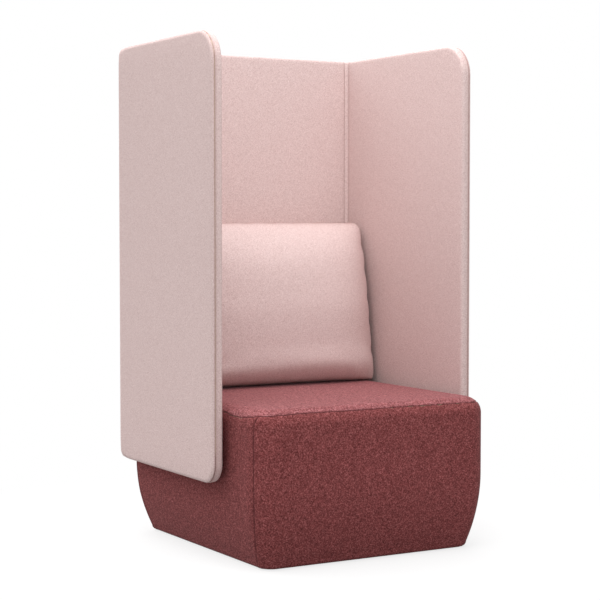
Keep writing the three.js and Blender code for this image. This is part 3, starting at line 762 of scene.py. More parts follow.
def profile_point(level, sink, dip):
    """The way in from the widest outline and the height, at a level of the block's profile."""
    kind, value = level
    centre = floor_clearance + bottom_roll
    if kind == "hem":
        return draw_in + bottom_roll + value, floor_clearance + sink
    if kind == "bottom":
        roll = bottom_roll - sink
        return draw_in + bottom_roll - roll * math.sin(value), centre - roll * math.cos(value)
    if kind == "side":
        return sink + drawn_in_at(value), value
    upper = edge_radius - sink
    seam = seam_roll - dip / edge_radius * math.sqrt(2)
    angle = math.pi / 2
    if kind == "below seam":
        angle = seam - value / edge_radius
    elif kind == "under edge":
        angle = (seam - seam_steps[-1][0] / edge_radius) * value
    elif kind == "above seam":
        angle = seam + value / edge_radius
    elif kind == "edge":
        start = seam + seam_steps[-1][0] / edge_radius
        angle = start + (math.pi / 2 - start) * value
    edge = edge_radius - upper * math.cos(angle)
    height = edge_top - edge_radius + upper * math.sin(angle)
    if kind == "crown":
        reach = (base_rear - base_front) / 2 - edge_radius
        edge = edge_radius + reach * value
        height = edge_top - sink + seat_crown * (1 - (1 - value) ** 2)
    return edge, height


def seam_dip_at(distance, behind_seam):
    """How far the upper seam lies below its level: it ripples, and dips behind the front upright seams."""
    near_dip = math.exp(-(((behind_seam - seam_dip_behind) / seam_dip_reach) ** 2))
    fine = math.sin(distance / ripple_fine) * math.sin(distance / ripple_mixing + 1)
    ripple = fine + ripple_broad_share * math.sin(distance / ripple_broad)
    return seam_dip * near_dip + seam_ripple * ripple * (1 + near_dip)


def base_point(section, station, level, level_sink):
    """A place on the block, at a station between the seams of a section and a level of the profile."""
    kind, value, sink, _ = station
    sink = sink + level_sink
    edge, height = profile_point(level, sink, 0)
    front_seam, rear_seam, whole = outline_marks(edge, height)
    near = seam_steps[-1][0]
    limits = {
        "front": (-front_seam, front_seam),
        "side": (front_seam, rear_seam),
        "rear": (rear_seam, 2 * whole - rear_seam),
        "all": (0, 2 * whole),
    }
    start, end = limits[section]
    if kind == "from start":
        distance = start + value
    elif kind == "from end":
        distance = end - value
    elif section == "all":
        distance = start + (end - start) * value
    else:
        distance = start + near + (end - start - 2 * near) * value
    around = abs(distance if distance <= whole else 2 * whole - distance)
    edge, height = profile_point(level, sink, seam_dip_at(distance, around - front_seam))
    x, y = half_outline(edge, around)
    if distance < 0 or distance > whole:
        x = -x
    return Vector((x, y, height))


def plain_levels(kind, values):
    """Levels of the profile away from its seam."""
    return [((kind, value), 0, 0) for value in values]


wall_levels = plain_levels("hem", [hem_width * share for share in (1, 0.66, 0.33)])
wall_levels += plain_levels("bottom", between(0, math.pi / 2, 6))
wall_levels += plain_levels("side", between(floor_clearance + bottom_roll, draw_in_height, 26)[1:])
wall_levels += plain_levels("side", between(draw_in_height, edge_top - edge_radius, 16)[1:-1])
wall_levels += plain_levels("under edge", between(0, 1, 5)[:-1])
wall_levels += [(("below seam", d), sink, mark) for d, sink, mark in reversed(seam_steps)]


def section_stations(count):
    """Stations across a section, the outermost ones beside its two seams."""
    start = [("from start", d, sink, mark) for d, sink, mark in seam_steps]
    end = [("from end", d, sink, mark) for d, sink, mark in reversed(seam_steps)]
    return start + plain_places("between", between(0, 1, count)[1:-1]) + end


# The seam tone is painted shade, for the shade in the seams' grooves.
rose = {"painted_seam_shade": "#5A2E30", "fleck_depth": 0.7 * millimetre, "fuzz": 0.12, "fuzz_tone": "#F0DCDE"}
rose_felt = melange_felt(
    "rose_melange_felt",
    tones=("#491F20", "#814141", "#B66F6F"),
    fleck_size=3.7 * millimetre,
    clumping=0.13,
    **rose,
)
for name, section, count, outward in (
    ("front", "front", 96, (0, -1, 0)),
    ("left", "side", 76, (-1, 0, 0)),
    ("right", "side", 76, (1, 0, 0)),
    ("rear", "rear", 90, (0, 1, 0)),
):
    stations = section_stations(count)
    rows = [[base_point(section, s, level, sink) for s in stations] for level, sink, _ in wall_levels]
    marks = [[max(s[3], mark) for s in stations] for _, _, mark in wall_levels]
    if name == "right":
        rows = mirrored(rows)
    panel = cloth_from_rows(f"base_{name}_felt", rows, marks, outward)
    upholster(panel, rose_felt, "chair", f"base_{name}_cover")


# Seat top cover
# The top panel is the same felt, drawn in lighter tones with larger flecks. The lighter tones are
# painted sheen: they stand in for the light that the fuzz catches where the top is seen along its nap,
# at a glancing angle. It lies on the soft layer of foam and rolls over the edge to the seam that goes
# round the block.

# The lighter tones are painted sheen on the seat's top.
seat_felt_painted_sheen = melange_felt(
    "rose_melange_felt_with_painted_sheen",
    tones=("#582C2E", "#945557", "#C88A8D"),
    fleck_size=4.4 * millimetre,
    clumping=0.16,
    **rose,
)
crown_shares = (0.01, 0.03, 0.06, 0.1, 0.15, 0.21, 0.28, 0.36, 0.46, 0.58, 0.72)
top_levels = [(("above seam", d), sink, mark) for d, sink, mark in seam_steps]
top_levels += plain_levels("edge", between(0, 1, 6)[1:])
top_levels += plain_levels("crown", crown_shares)
around_stations = plain_places("between", between(0, 1, 300)[:-1])
top_rows = [[base_point("all", s, level, sink) for s in around_stations] for level, sink, _ in top_levels]
top_marks = [[mark for _ in around_stations] for _, _, mark in top_levels]
last_ring = (len(top_rows) - 1) * len(around_stations)
middle_face = [tuple(range(last_ring, last_ring + len(around_stations)))]
seat_top = cloth_from_rows("seat_top_felt", top_rows, top_marks, (0, 0, 1), middle_face, closed=True)
upholster(seat_top, seat_felt_painted_sheen, "chair", "seat_top_cover")


# Dust cloth
# A sheet of black spunbond polypropylene closes the base from below. It is cut round the glides, and
# staples hold it through the covers' hems to the floor board.


def spunbond():
    """Black spunbond cloth: thin, dull, with the small dimples where its fibres were bonded."""
    dimples = ("ShaderNodeTexVoronoi", {"Scale": 1 / (3 * millimetre)}, "Distance")
    stops = ((0.15, "#1A1A1D"), (0.5, "#2B2B2F"))
    surface = {"Roughness": 0.8, "Specular IOR Level": 0.3}
    return patterned_material("spunbond_cloth", dimples, stops, (0.4, 0.2 * millimetre), surface)


def add_block(name, size, place=(0, 0, 0), taper=1.0):
    """A block at a place, its -X end narrowed in height by a taper."""
    bpy.ops.mesh.primitive_cube_add(size=1, location=(0, 0, 0))
    block = bpy.context.object
    block.name = name
    for vertex in block.data.vertices:
        if vertex.co.x < 0:
            vertex.co.z *= taper
        vertex.co = [c * s + p for c, s, p in zip(vertex.co, size, place)]
    return block


def join(pieces):
    """Joins pieces into the first of them."""
    use_only(pieces[0])
    for piece in pieces[1:]:
        piece.select_set(True)
    bpy.ops.object.join()
    return pieces[0]


cloth_low, cloth_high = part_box("base_dust_cloth")
cloth_size = cloth_high - cloth_low
cloth_middle = (cloth_low + cloth_high) / 2
dust_thickness = 0.5 * millimetre
dust_sag = 0.6 * millimetre
glide_clearance = 0.8 * millimetre
bpy.ops.mesh.primitive_grid_add(x_subdivisions=24, y_subdivisions=24, size=1, location=(0, 0, 0))
dust_cloth = bpy.context.object
dust_cloth.name = "base_dust_sheet"
for vertex in dust_cloth.data.vertices:
    edge = min(0.5 - abs(vertex.co.x), 0.5 - abs(vertex.co.y))
    sag = dust_sag * math.sin(min(edge * 4, 1) * math.pi / 2)
    x = cloth_middle.x + vertex.co.x * cloth_size.x
    y = cloth_middle.y + vertex.co.y * cloth_size.y
    vertex.co = (x, y, cloth_middle.z + dust_thickness - sag)
shell(dust_cloth, dust_thickness)
for corner in corners:
    glide_low, glide_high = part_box("glide_" + corner)
    bpy.ops.mesh.primitive_cylinder_add(
        vertices=64,
        radius=(glide_high.x - glide_low.x) / 2 + glide_clearance,
        depth=20 * millimetre,
        location=((glide_low.x + glide_high.x) / 2, (glide_low.y + glide_high.y) / 2, 0),
    )
    cutter = bpy.context.object
    apply_modifier(dust_cloth, "BOOLEAN", object=cutter, operation="DIFFERENCE")
    bpy.data.objects.remove(cutter)
dress(dust_cloth, spunbond(), "chair", "base_dust_cloth")

staple_pitch = 0.035
staple_length = 10 * millimetre
staple_width = 1.2 * millimetre
staple_height = 0.7 * millimetre
staple_level = cloth_low.z + 0.6 * millimetre
staple_gap = 5 * millimetre
staple_row_inset = 0.020
staple_edge_radius = 0.25 * millimetre
staples = []
for along, across in ((0, 1), (1, 0)):
    count = int((cloth_size[along] - 2 * staple_row_inset) / staple_pitch)
    size = [staple_width, staple_width, staple_height]
    size[along] = staple_length
    for number in range(count):
        for side in (-1, 1):
            place = [0, 0, staple_level]
            place[along] = cloth_middle[along] + staple_pitch * (number - (count - 1) / 2)
            place[across] = cloth_middle[across] + side * (cloth_size[across] / 2 - staple_gap)
            staples.append(add_block("base_dust_sheet_staples", size, place))
staples = join(staples)
soften_edges(staples, staple_edge_radius)
dress(staples, steel, "chair")


# Glides
# Four round nylon pads, each moulded over a nail that is driven through the floor board into a block.
# They lift the base off the floor.


def moulded_nylon():
    """Black injection-moulded nylon with a fine spark-eroded grain, dull with a weak broad highlight."""
    grain = ("ShaderNodeTexNoise", {"Scale": 1 / (0.9 * millimetre)}, "Fac")
    stops = ((0.3, "#1B1B1D"), (0.7, "#26262A"))
    surface = {"Roughness": 0.5, "Specular IOR Level": 0.45}
    return patterned_material("moulded_nylon", grain, stops, (0.3, 0.1 * millimetre), surface)


nylon = moulded_nylon()
glide_low, glide_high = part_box("glide_left_front")
glide_radius = (glide_high.x - glide_low.x) / 2
nail_radius = 2.2 * millimetre
pad_height = 4 * millimetre
glide_height = glide_high.z
glide_profile = [
    (0, 0.4 * millimetre),
    (glide_radius * 0.55, 0.15 * millimetre),
    (glide_radius * 0.86, 0),
    (glide_radius * 0.96, 0.5 * millimetre),
    (glide_radius, 1.6 * millimetre),
    (glide_radius, pad_height - 0.7 * millimetre),
    (glide_radius - 0.7 * millimetre, pad_height),
    (nail_radius * 1.6, pad_height),
    (nail_radius, pad_height + 1 * millimetre),
    (nail_radius, glide_height - nail_radius),
    (0, glide_height),
]
for corner in corners:
    corner_low, corner_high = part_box("glide_" + corner)
    x = (corner_low.x + corner_high.x) / 2
    y = (corner_low.y + corner_high.y) / 2
    mesh = bpy.data.meshes.new("glide_pad")
    line = [(x + radius, y, height) for radius, height in glide_profile]
    mesh.from_pydata(line, [(i, i + 1) for i in range(len(line) - 1)], [])
    glide = link_mesh(f"glide_{corner}_pad", mesh)
    use_only(glide)
    bpy.ops.object.mode_set(mode="EDIT")
    bpy.ops.mesh.select_all(action="SELECT")
    bpy.ops.mesh.spin(steps=48, angle=2 * math.pi, center=(x, y, 0), axis=(0, 0, 1))
    bpy.ops.mesh.select_all(action="SELECT")
    bpy.ops.mesh.remove_doubles(threshold=0.01 * millimetre)
    bpy.ops.mesh.normals_make_consistent(inside=False)
    bpy.ops.object.mode_set(mode="OBJECT")
    smooth_by_angle(35)
    dress(glide, nylon, "chair", "glide_" + corner)


# Back cushion
# A loose, plump cushion of blush felt in two panels, sewn together round its edge. It stands on the
# seat and leans on the back wall, and is flat only where it rests on them. The seam is drawn in small
# puckers, because the panels are eased on to it.

cushion_width = 0.752
cushion_height = 0.532
cushion_thickness = 0.254
cushion_lean = math.radians(10.5)
cushion_origin = Vector((0, screen_rear - 0.216, edge_top - 0.030))
cushion_drawn_in = 0.008
cushion_corner_radius = 0.030
cushion_fullness = 3.5
cushion_foot_fullness = 8.5
cushion_breadth = 4.6
cushion_slimness = 0.66
cushion_foot_slimness = 0.5
cushion_foot_flatness = 0.12
cushion_foot_lift = 0.024
cushion_foot_reach = 0.6
cushion_rim = 0.005
swelling = 6 * millimetre
least_crown = 0.6
pucker_depth = 4.2 * millimetre
across_lines = 84
up_lines = 60
line_crowding = 0.4
cushion_gap = 0.6 * millimetre
wall_gap = 0.5 * millimetre


def cushion_lines(count):
    """Grid lines from -1 to 1, closer together near the seam."""
    shares = between(-1, 1, count)
    even = 1 - line_crowding
    return [even * share + line_crowding * math.sin(share * math.pi / 2) for share in shares]


def cushion_outline(across, up):
    """A place on the cushion's middle plane, its corners rounded and its sides drawn in."""
    half_width = cushion_width / 2
    half_height = cushion_height / 2
    radius = cushion_corner_radius
    x = across * half_width
    z = up * half_height
    over_x = abs(x) - (half_width - radius)
    over_z = abs(z) - (half_height - radius)
    if over_x > 0 and over_z > 0:
        x = math.copysign(half_width - radius + over_x * math.sqrt(1 - over_z**2 / (2 * radius**2)), x)
        z = math.copysign(half_height - radius + over_z * math.sqrt(1 - over_x**2 / (2 * radius**2)), z)
    if z < 0:
        z *= 1 - cushion_foot_lift / half_height
    drawn_x = x * (1 - cushion_drawn_in * (1 - (z / half_height) ** 2))
    drawn_z = z * (1 - cushion_drawn_in * (1 - (x / half_width) ** 2))
    return drawn_x, half_height + drawn_z


def eased(share):
    """A share, kept from 0 to 1 and eased at both ends."""
    share = limited(share)
    return share**2 * (3 - 2 * share)


def cushion_crown(across, up):
    """Half the cushion's thickness at a place."""
    slimness = cushion_slimness if up > 0 else cushion_foot_slimness
    fullness = cushion_fullness if up > 0 else cushion_foot_fullness
    fill_across = max(1 - abs(across) ** cushion_breadth, 0) ** cushion_slimness
    fill = fill_across * max(1 - abs(up) ** fullness, 0) ** slimness
    fill *= 1 - cushion_foot_flatness * eased(-up / cushion_foot_reach)
    rim = cushion_rim if fill > 0 else 0
    return rim + (cushion_thickness / 2 - cushion_rim) * fill


def place_cushion(x, y, z):
    """From the cushion's own leaning frame to the chair's."""
    leaned_y = y * math.cos(cushion_lean) + z * math.sin(cushion_lean)
    leaned_z = z * math.cos(cushion_lean) - y * math.sin(cushion_lean)
    return cushion_origin + Vector((x, leaned_y, leaned_z))


def cushion_face(side, smaller):
    """One panel as a grid of points in the cushion's own frame. Side is -1 in front and 1 behind."""
    grid = np.zeros((up_lines + 1, across_lines + 1, 3))
    for j, up in enumerate(cushion_lines(up_lines)):
        for i, across in enumerate(cushion_lines(across_lines)):
            x, z = cushion_outline(across, up)
            crown = cushion_crown(across, up)
            grid[j, i] = (x, side * max(crown - smaller, least_crown * crown), z)
    return grid


front_grid = cushion_face(-1, swelling)
rear_grid = cushion_face(1, swelling)
back_wall_face = screen_rear - screen_thickness - panel_steps[-1][1] / 2 - wall_gap


def rest_on_neighbours(grid):
    """Presses the cushion flat against the seat and the back wall."""
    for point in grid.reshape(-1, 3):
        placed = place_cushion(*point)
        distance_in = min(base_half_width - abs(placed.x), placed.y - base_front, base_rear - placed.y)
        share = limited((distance_in - edge_radius) / ((base_rear - base_front) / 2 - edge_radius))
        seat_height = edge_top + seat_crown * (1 - (1 - share) ** 2) + cushion_gap
        height = max(placed.z, seat_height)
        depth = min(placed.y, back_wall_face)
        offset = Vector((placed.x, depth, height)) - cushion_origin
        point[1] = offset.y * math.cos(cushion_lean) - offset.z * math.sin(cushion_lean)
        point[2] = offset.y * math.sin(cushion_lean) + offset.z * math.cos(cushion_lean)


# Hollows in the filling: the lowest and highest place across, height, half width, half height and depth
hollow_ranges = ((-0.30, 0.30), (0.12, 0.46), (0.05, 0.13), (0.025, 0.06), (0.0006, 0.0024))
hollow_count = 9
# Folds across the foot: how high up, half height and rise
folds = ((0.126, 0.034, -2.6 * millimetre), (0.070, 0.026, 7 * millimetre))
fold_half_width = 0.36
fold_waver = 0.006
fold_wave = 0.11


def dent(grid, side):
    """Presses broad shallow hollows into a panel, as in a filling that people have leant on, and a
    fold above the roll at its foot, where the filling has sunk."""
    generator = np.random.default_rng(11)
    for _ in range(hollow_count):
        x, z, wide, tall, deep = [generator.uniform(low, high) for low, high in hollow_ranges]
        apart = ((grid[:, :, 0] - x) / wide) ** 2 + ((grid[:, :, 2] - z) / tall) ** 2
        grid[:, :, 1] -= side * deep * np.exp(-apart / 2)
    across = np.clip(1 - (grid[:, :, 0] / fold_half_width) ** 4, 0, 1)
    for place, reach, rise in folds:
        middle = place + fold_waver * np.sin(grid[:, :, 0] / fold_wave)
        grid[:, :, 1] += side * rise * across * np.exp(-(((grid[:, :, 2] - middle) / reach) ** 2))


def cushion_body(name, front, rear):
    """The closed cushion from both panels, joined along the seam."""
    rows, columns = front.shape[:2]
    on_seam = np.zeros((rows, columns), bool)
    on_seam[[0, -1], :] = True
    on_seam[:, [0, -1]] = True
    points = list(map(tuple, front.reshape(-1, 3)))
    index_front = np.arange(rows * columns).reshape(rows, columns)
    index_rear = index_front.copy()
    for j in range(rows):
        for i in range(columns):
            if not on_seam[j, i]:
                index_rear[j, i] = len(points)
                points.append(tuple(rear[j, i]))
    faces = []
    for j in range(rows - 1):
        for i in range(columns - 1):
            for index, order in ((index_front, 1), (index_rear, -1)):
                face = (index[j, i], index[j, i + 1], index[j + 1, i + 1], index[j + 1, i])
                faces.append(tuple(int(v) for v in face[::order]))
    mesh = bpy.data.meshes.new(name)
    mesh.from_pydata(points, [], faces)
    return link_mesh(name, mesh), index_front, index_rear, on_seam


swelling_frames = 20
smoothing_passes = 8


def swell(front, rear, most):
    """Fills the cushion with air pressure under Blender's cloth, with its seam held. No point moves
    further than the most."""
    body, index_front, index_rear, on_seam = cushion_body("cushion_swelling", front, rear)
    use_only(body)
    held = body.vertex_groups.new(name="seam")
    held.add([int(v) for v in index_front[on_seam]], 1.0, "REPLACE")
    bpy.ops.object.modifier_add(type="CLOTH")
    cloth = body.modifiers[-1]
    cloth.settings.quality = 6
    cloth.settings.mass = 0.3
    cloth.settings.tension_stiffness = 15
    cloth.settings.compression_stiffness = 15
    cloth.settings.bending_stiffness = 0.6
    cloth.settings.vertex_group_mass = "seam"
    cloth.settings.use_pressure = True
    cloth.settings.uniform_pressure_force = 4
    cloth.settings.effector_weights.gravity = 0
    cloth.point_cache.frame_end = swelling_frames
    for number in range(1, swelling_frames + 1):
        bpy.context.scene.frame_set(number)
    bpy.ops.object.modifier_apply(modifier=cloth.name)
    swollen = np.array([v.co for v in body.data.vertices])
    bpy.data.objects.remove(body)
    bpy.context.scene.frame_set(1)
    for grid, index in ((front, index_front), (rear, index_rear)):
        moved = swollen[index] - grid
        for _ in range(smoothing_passes):
            inner = moved[1:-1, 1:-1]
            sides_mean = (moved[:-2, 1:-1] + moved[2:, 1:-1] + moved[1:-1, :-2] + moved[1:-1, 2:]) / 4
            moved[1:-1, 1:-1] = (inner + sides_mean) / 2
        share = np.maximum(np.linalg.norm(moved, axis=2, keepdims=True), 1e-9) / most
        grid += moved * np.tanh(share) / share


pucker_count = 20
pucker_spacing = (0.055, 0.100)
pucker_start = -0.03
pucker_width = 0.016
# How far in a pucker fades and ends, counted in the grid's lines
pucker_fade = 4
pucker_lines = 12
pucker_share_on_level_edges = 0.3
pucker_thinning = 0.10


def pucker_seam(front, rear):
    """Draws the seam line in where the cloth is gathered, fading out over the first hand's width. The
    grid's edges come in turn: the bottom, one side, the top and the other side."""
    generator = np.random.default_rng(4)
    for edge in range(4):
        level = edge % 2 == 0
        inwards = 1 if edge < 2 else -1
        places = np.cumsum(generator.uniform(*pucker_spacing, pucker_count)) + pucker_start
        depths = generator.uniform(0.5, 1.0, pucker_count) * pucker_depth
        depths *= pucker_share_on_level_edges if level else 1
        for grid in (front, rear):
            lines = (grid if level else grid.swapaxes(0, 1))[::inwards]
            run = lines[0, :, 0] + cushion_width / 2 if level else lines[0, :, 2]
            pull = (depths * np.exp(-(((run[:, None] - places) / pucker_width) ** 2))).sum(axis=1)
            for number, line in enumerate(lines[:pucker_lines]):
                fade = math.exp(-((number / pucker_fade) ** 2))
                line[:, 2 if level else 0] += inwards * pull * fade
                line[:, 1] *= 1 - pucker_thinning * pull / pucker_depth * fade


pucker_seam(front_grid, rear_grid)
swell(front_grid, rear_grid, most=1.5 * swelling)
dent(front_grid, -1)
rest_on_neighbours(front_grid)
rest_on_neighbours(rear_grid)
zip_length = 0.330
zip_height = 0.24 * cushion_height
zip_straight_beside = 0.09
zip_straight_above = 0.045
zip_ease_beside = 0.08
zip_ease_above = 0.025
rear_middle_line = rear_grid[:, across_lines // 2].copy()


def rear_face_at(z):
    """How far back the rear panel is at a height on its middle line, in the cushion's own frame."""
    return float(np.interp(z, rear_middle_line[:, 2], rear_middle_line[:, 1]))


def straighten_for_zip(grid):
    """Holds the rear panel straight from side to side where the zip is sewn to it."""
    for point in grid.reshape(-1, 3):
        beside = eased((zip_length / 2 + zip_straight_beside - abs(point[0])) / zip_ease_beside)
        above = eased((zip_straight_above - abs(point[2] - zip_height)) / zip_ease_above)
        point[1] += beside * above * (rear_face_at(point[2]) - point[1])


straighten_for_zip(rear_grid)
seam_gap = 0.15 * millimetre
edge_gap = 0.6 * millimetre
# How far the seam's two rows are turned in, and how far each is from the middle plane
turned_in = ((3.5 * millimetre, seam_gap), (1 * millimetre, 2 * seam_gap))


def cushion_panel(name, grid, side):
    """A panel's grid with its edge turned in along the seam, in the chair's frame."""
    turned = []
    for sink, gap in turned_in:
        ring = grid.copy()
        ring[:, :, 0] *= 1 - sink / (cushion_width / 2)
        ring[:, :, 1] = side * gap
        narrowed = (ring[:, :, 2] - cushion_height / 2) * (1 - 2 * sink / cushion_height)
        ring[:, :, 2] = cushion_height / 2 + narrowed
        turned.append(ring)
    rows, columns = grid.shape[:2]
    full = np.zeros((rows + 4, columns + 4, 3))
    inside = full[2:-2, 2:-2]
    inside[:] = grid
    for edge in (inside[0], inside[-1], inside[:, 0], inside[:, -1]):
        edge[:, 1] = side * edge_gap
    for depth, ring in enumerate(turned):
        span = np.clip(np.arange(columns + 4) - 2, 0, columns - 1)
        rise = np.clip(np.arange(rows + 4) - 2, 0, rows - 1)
        full[depth, :] = ring[0, span]
        full[-1 - depth, :] = ring[-1, span]
        inner = slice(depth, rows + 4 - depth)
        full[inner, depth] = ring[rise[inner], 0]
        full[inner, -1 - depth] = ring[rise[inner], -1]
    # Seam marks on the turned-in edge and the two rows beside it: the felt is gathered and painted darker
    # there, as painted shade in the seam.
    marks = np.zeros(full.shape[:2])
    marks[:3, :] = marks[-3:, :] = marks[:, :3] = marks[:, -3:] = 1
    for ring, mark in ((3, 0.35), (4, 0.1)):
        marks[ring, ring:-ring] = marks[-1 - ring, ring:-ring] = mark
        marks[ring:-ring, ring] = marks[ring:-ring, -1 - ring] = mark
    rows_of_points = [[place_cushion(*point) for point in line] for line in full]
    return cloth_from_rows(name, rows_of_points, marks.tolist(), (0, side, 0))


def refine(piece):
    """Rounds a mesh with a subdivision surface."""
    apply_modifier(piece, "SUBSURF", levels=1, render_levels=1)
    bpy.ops.object.shade_smooth()


for name, grid, side in (("front", front_grid, -1), ("rear", rear_grid, 1)):
    panel = cushion_panel(f"cushion_{name}_felt", grid, side)
    refine(panel)
    upholster(panel, blush_felt, "back_cushion", f"cushion_{name}_cover")


# Cushion filling
# A lining of white cotton filled with foam crumb and fibre, a little smaller than the cover. It is
# flattened where the cushion rests, as the cover is.


def lining_cotton():
    """Plain white cotton cambric: matt, with a fine even weave that is finer than a pixel."""
    weave = ("ShaderNodeTexNoise", {"Scale": 1 / (1.2 * millimetre)}, "Fac")
    stops = ((0.3, "#DAD6CE"), (0.7, "#EFECE6"))
    surface = {"Roughness": 0.9, "Specular IOR Level": 0.2}
    return patterned_material("lining_cotton", weave, stops, (0.4, 0.2 * millimetre), surface)


filling = cushion_body("cushion_lined_filling", front_grid, rear_grid)[0]
lining_inset = 4 * millimetre
apply_modifier(filling, "DISPLACE", mid_level=0, strength=-lining_inset)
for vertex in filling.data.vertices:
    vertex.co = place_cushion(*vertex.co)
refine(filling)
dress(filling, lining_cotton(), "back_cushion", "cushion_filling")


# Cushion zip
# A coil zip of blush polyester is sewn low on the cushion's rear. Its tape lies on the cover, its coil
# runs down the middle, and a zinc slider with a small pull stands at one end.

zip_width = 0.022
tape_thickness = 0.7 * millimetre
tape_lift = 0.9 * millimetre
coil_pitch = 2.2 * millimetre
coil_wire = (1.5 * millimetre, 1.3 * millimetre, 5.6 * millimetre)
coil_edge_radius = 0.4 * millimetre
coil_end_gap = 4 * millimetre
coil_lift = 1.7 * millimetre


def lay_on_rear(piece, lift):
    """Lays a flat piece, modelled about y = 0 at the zip's height, on the cushion's rear face."""
    for vertex in piece.data.vertices:
        x, y, z = vertex.co
        face = rear_face_at(zip_height + z)
        vertex.co = place_cushion(x, face + lift + y, zip_height + z)


def dyed_polyester(name, dark, light):
    """Dyed polyester: woven tape or moulded coil, smoother than the felt, with a weak soft highlight."""
    weave = ("ShaderNodeTexNoise", {"Scale": 1 / millimetre}, "Fac")
    surface = {"Roughness": 0.6, "Specular IOR Level": 0.4}
    return patterned_material(name, weave, ((0.3, dark), (0.7, light)), (0.3, 0.15 * millimetre), surface)


bpy.ops.mesh.primitive_grid_add(
    x_subdivisions=60,
    y_subdivisions=6,
    size=1,
    rotation=(math.pi / 2, 0, 0),
    location=(0, 0, 0),
)
zip_tape = bpy.context.object
zip_tape.name = "cushion_zip_tape"
bpy.ops.transform.resize(value=(zip_length, 1, zip_width))
bpy.ops.object.transform_apply(location=True, rotation=True, scale=True)
lay_on_rear(zip_tape, tape_lift)
bpy.ops.object.mode_set(mode="EDIT")
bpy.ops.mesh.select_all(action="SELECT")
bpy.ops.mesh.normals_make_consistent(inside=False)
bpy.ops.object.mode_set(mode="OBJECT")
shell(zip_tape, tape_thickness, 0)
tape_material = dyed_polyester("dyed_polyester_tape", "#B58F8B", "#C9A5A1")
dress(zip_tape, tape_material, "back_cushion", "cushion_zip")

coil_count = int((zip_length - 2 * coil_end_gap) / coil_pitch)
coil_start = -coil_pitch * (coil_count - 1) / 2
zip_coil = add_block("cushion_zip_coil", coil_wire, (coil_start, 0, 0))
soften_edges(zip_coil, coil_edge_radius, 1)
apply_modifier(
    zip_coil,
    "ARRAY",
    count=coil_count,
    use_relative_offset=False,
    use_constant_offset=True,
    constant_offset_displace=(coil_pitch, 0, 0),
)
lay_on_rear(zip_coil, coil_lift)
smooth_by_angle(35)
dress(zip_coil, dyed_polyester("dyed_polyester_coil", "#A9827E", "#BE9894"), "back_cushion")


# Zip slider
# A die-cast zinc body, wider at one end, with a bridge that holds a short pull. It runs along the
# coil from end to end, and stays where it is left.

slider_low, slider_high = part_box("cushion_zip_slider")
slider_size = slider_high - slider_low
slider_x = (slider_low.x + slider_high.x) / 2
slider_lift = 0.4 * millimetre
slider_parts = []
# The body, the bridge and the pull: size, place, taper and width of the rounded edges
for size, place, taper, bevel in (
    ((slider_size.x, 0.0026, 0.009), (slider_x, 0.0026, 0), 0.72, 0.0007),
    ((0.009, 0.0022, 0.0024), (slider_x, 0.0048, 0), 1.0, 0.0008),
    ((0.015, 0.0011, 0.005), (slider_x + 0.009, 0.0064, 0), 0.6, 0.0005),
):
    slider_parts.append(add_block("cushion_zip_slider_body", size, place, taper))
    soften_edges(slider_parts[-1], bevel, 3)
slider = join(slider_parts)
lay_on_rear(slider, slider_lift)
smooth_by_angle(35)
dress(slider, steel, "zip_slider", "cushion_zip_slider")


# Floor, backdrop and lamps
# A white floor that keeps the chair's shadow, in a white surround. The light comes from a white tent,
# brighter in front, at the upper left and at the upper rear, and from a large soft lamp overhead.

white = (1, 1, 1, 1)


def light_and_show(tree, lit, seen, output):
    """Ends a tree: the scene is lit by one shader, and the rays to the camera, in a gloss and through
    glass show the other."""
    rays = add_node(tree, "ShaderNodeLightPath").outputs
    share = rays["Is Camera Ray"]
    for name in ("Is Glossy Ray", "Is Transmission Ray"):
        either = add_node(tree, "ShaderNodeMath", {"operation": "MAXIMUM"}, {0: share, 1: rays[name]})
        share = either.outputs[0]
    mix = add_node(tree, "ShaderNodeMixShader", {}, {0: share, 1: lit.outputs[0], 2: seen.outputs[0]})
    add_node(tree, output, {}, {"Surface": mix.outputs[0]})


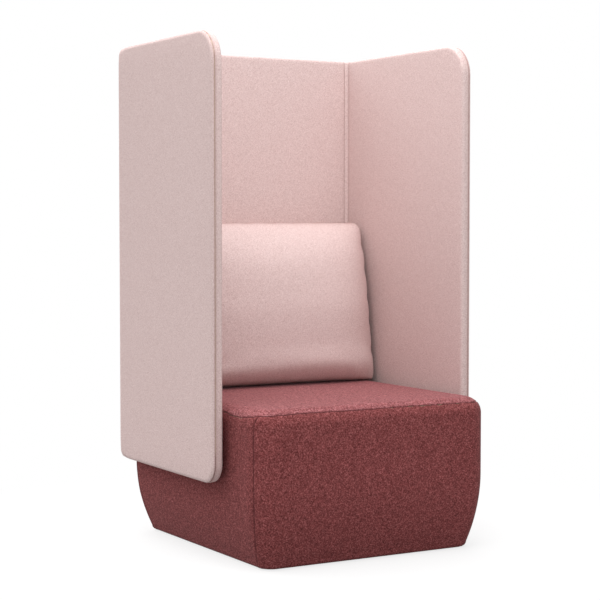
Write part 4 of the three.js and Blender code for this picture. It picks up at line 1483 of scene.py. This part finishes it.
bpy.ops.mesh.primitive_plane_add(size=30, location=(0, 0, 0))
floor = bpy.context.object
floor.name = "floor"
floor_material, floor_tree, floor_coordinates = new_material("studio_floor")
floor_diffuse = add_node(floor_tree, "ShaderNodeBsdfDiffuse", {"Color": linear("#9A9A9A")})
seen_diffuse = add_node(floor_tree, "ShaderNodeBsdfDiffuse", {"Color": linear("#F4F4F4")})
seen_white = add_node(floor_tree, "ShaderNodeEmission", {"Color": white, "Strength": 1.0})
floor_place = {0: floor_coordinates["Object"]}
from_chair = add_node(floor_tree, "ShaderNodeVectorMath", {"operation": "LENGTH"}, floor_place)
fade = {"From Min": 0.5, "From Max": 1.3, "To Min": 0.75, "To Max": 1.0}
white_share = add_node(floor_tree, "ShaderNodeMapRange", fade, {"Value": from_chair.outputs["Value"]})
seen_shaders = {0: white_share.outputs["Result"], 1: seen_diffuse.outputs[0], 2: seen_white.outputs[0]}
seen_floor = add_node(floor_tree, "ShaderNodeMixShader", {}, seen_shaders)
light_and_show(floor_tree, floor_diffuse, seen_floor, "ShaderNodeOutputMaterial")
floor.data.materials.append(floor_material)

world = bpy.data.worlds.new("studio")
bpy.context.scene.world = world
world.use_nodes = True
world_tree = world.node_tree
world_tree.nodes.clear()
world_place = {0: add_node(world_tree, "ShaderNodeTexCoord").outputs["Generated"]}
tent_light = None
for direction, sharpness, strength in (
    ((0, -1, 0), 2.0, 1.22),
    ((-0.7, 0, 0.714), 3.0, 0.93),
    ((0, 0.7, 0.714), 3.0, 2.95),
):
    along_direction = {"operation": "DOT_PRODUCT", 1: direction}
    lobe = add_node(world_tree, "ShaderNodeVectorMath", along_direction, world_place).outputs["Value"]
    for operation, value in (("MAXIMUM", 0.0), ("POWER", sharpness), ("MULTIPLY", strength)):
        step = add_node(world_tree, "ShaderNodeMath", {"operation": operation, 1: value}, {0: lobe})
        lobe = step.outputs[0]
    if tent_light:
        both = add_node(world_tree, "ShaderNodeMath", {"operation": "ADD"}, {0: tent_light, 1: lobe})
        lobe = both.outputs[0]
    tent_light = lobe
world_light = add_node(world_tree, "ShaderNodeBackground", {"Color": white}, {"Strength": tent_light})
world_seen = add_node(world_tree, "ShaderNodeBackground", {"Color": white, "Strength": 1.0})
light_and_show(world_tree, world_light, world_seen, "ShaderNodeOutputWorld")

lamp_data = bpy.data.lights.new("overhead_lamp", "AREA")
lamp_data.shape = "SQUARE"
lamp_data.size = 2.2
lamp_data.energy = 50
lamp = bpy.data.objects.new("overhead_lamp", lamp_data)
lamp.location = (-0.3, -1.0, 3.2)
lamp.rotation_euler = (Vector((0, 0, 0.6)) - lamp.location).to_track_quat("-Z", "Y").to_euler()
bpy.context.scene.collection.objects.link(lamp)

bpy.context.scene.view_settings.view_transform = "Standard"
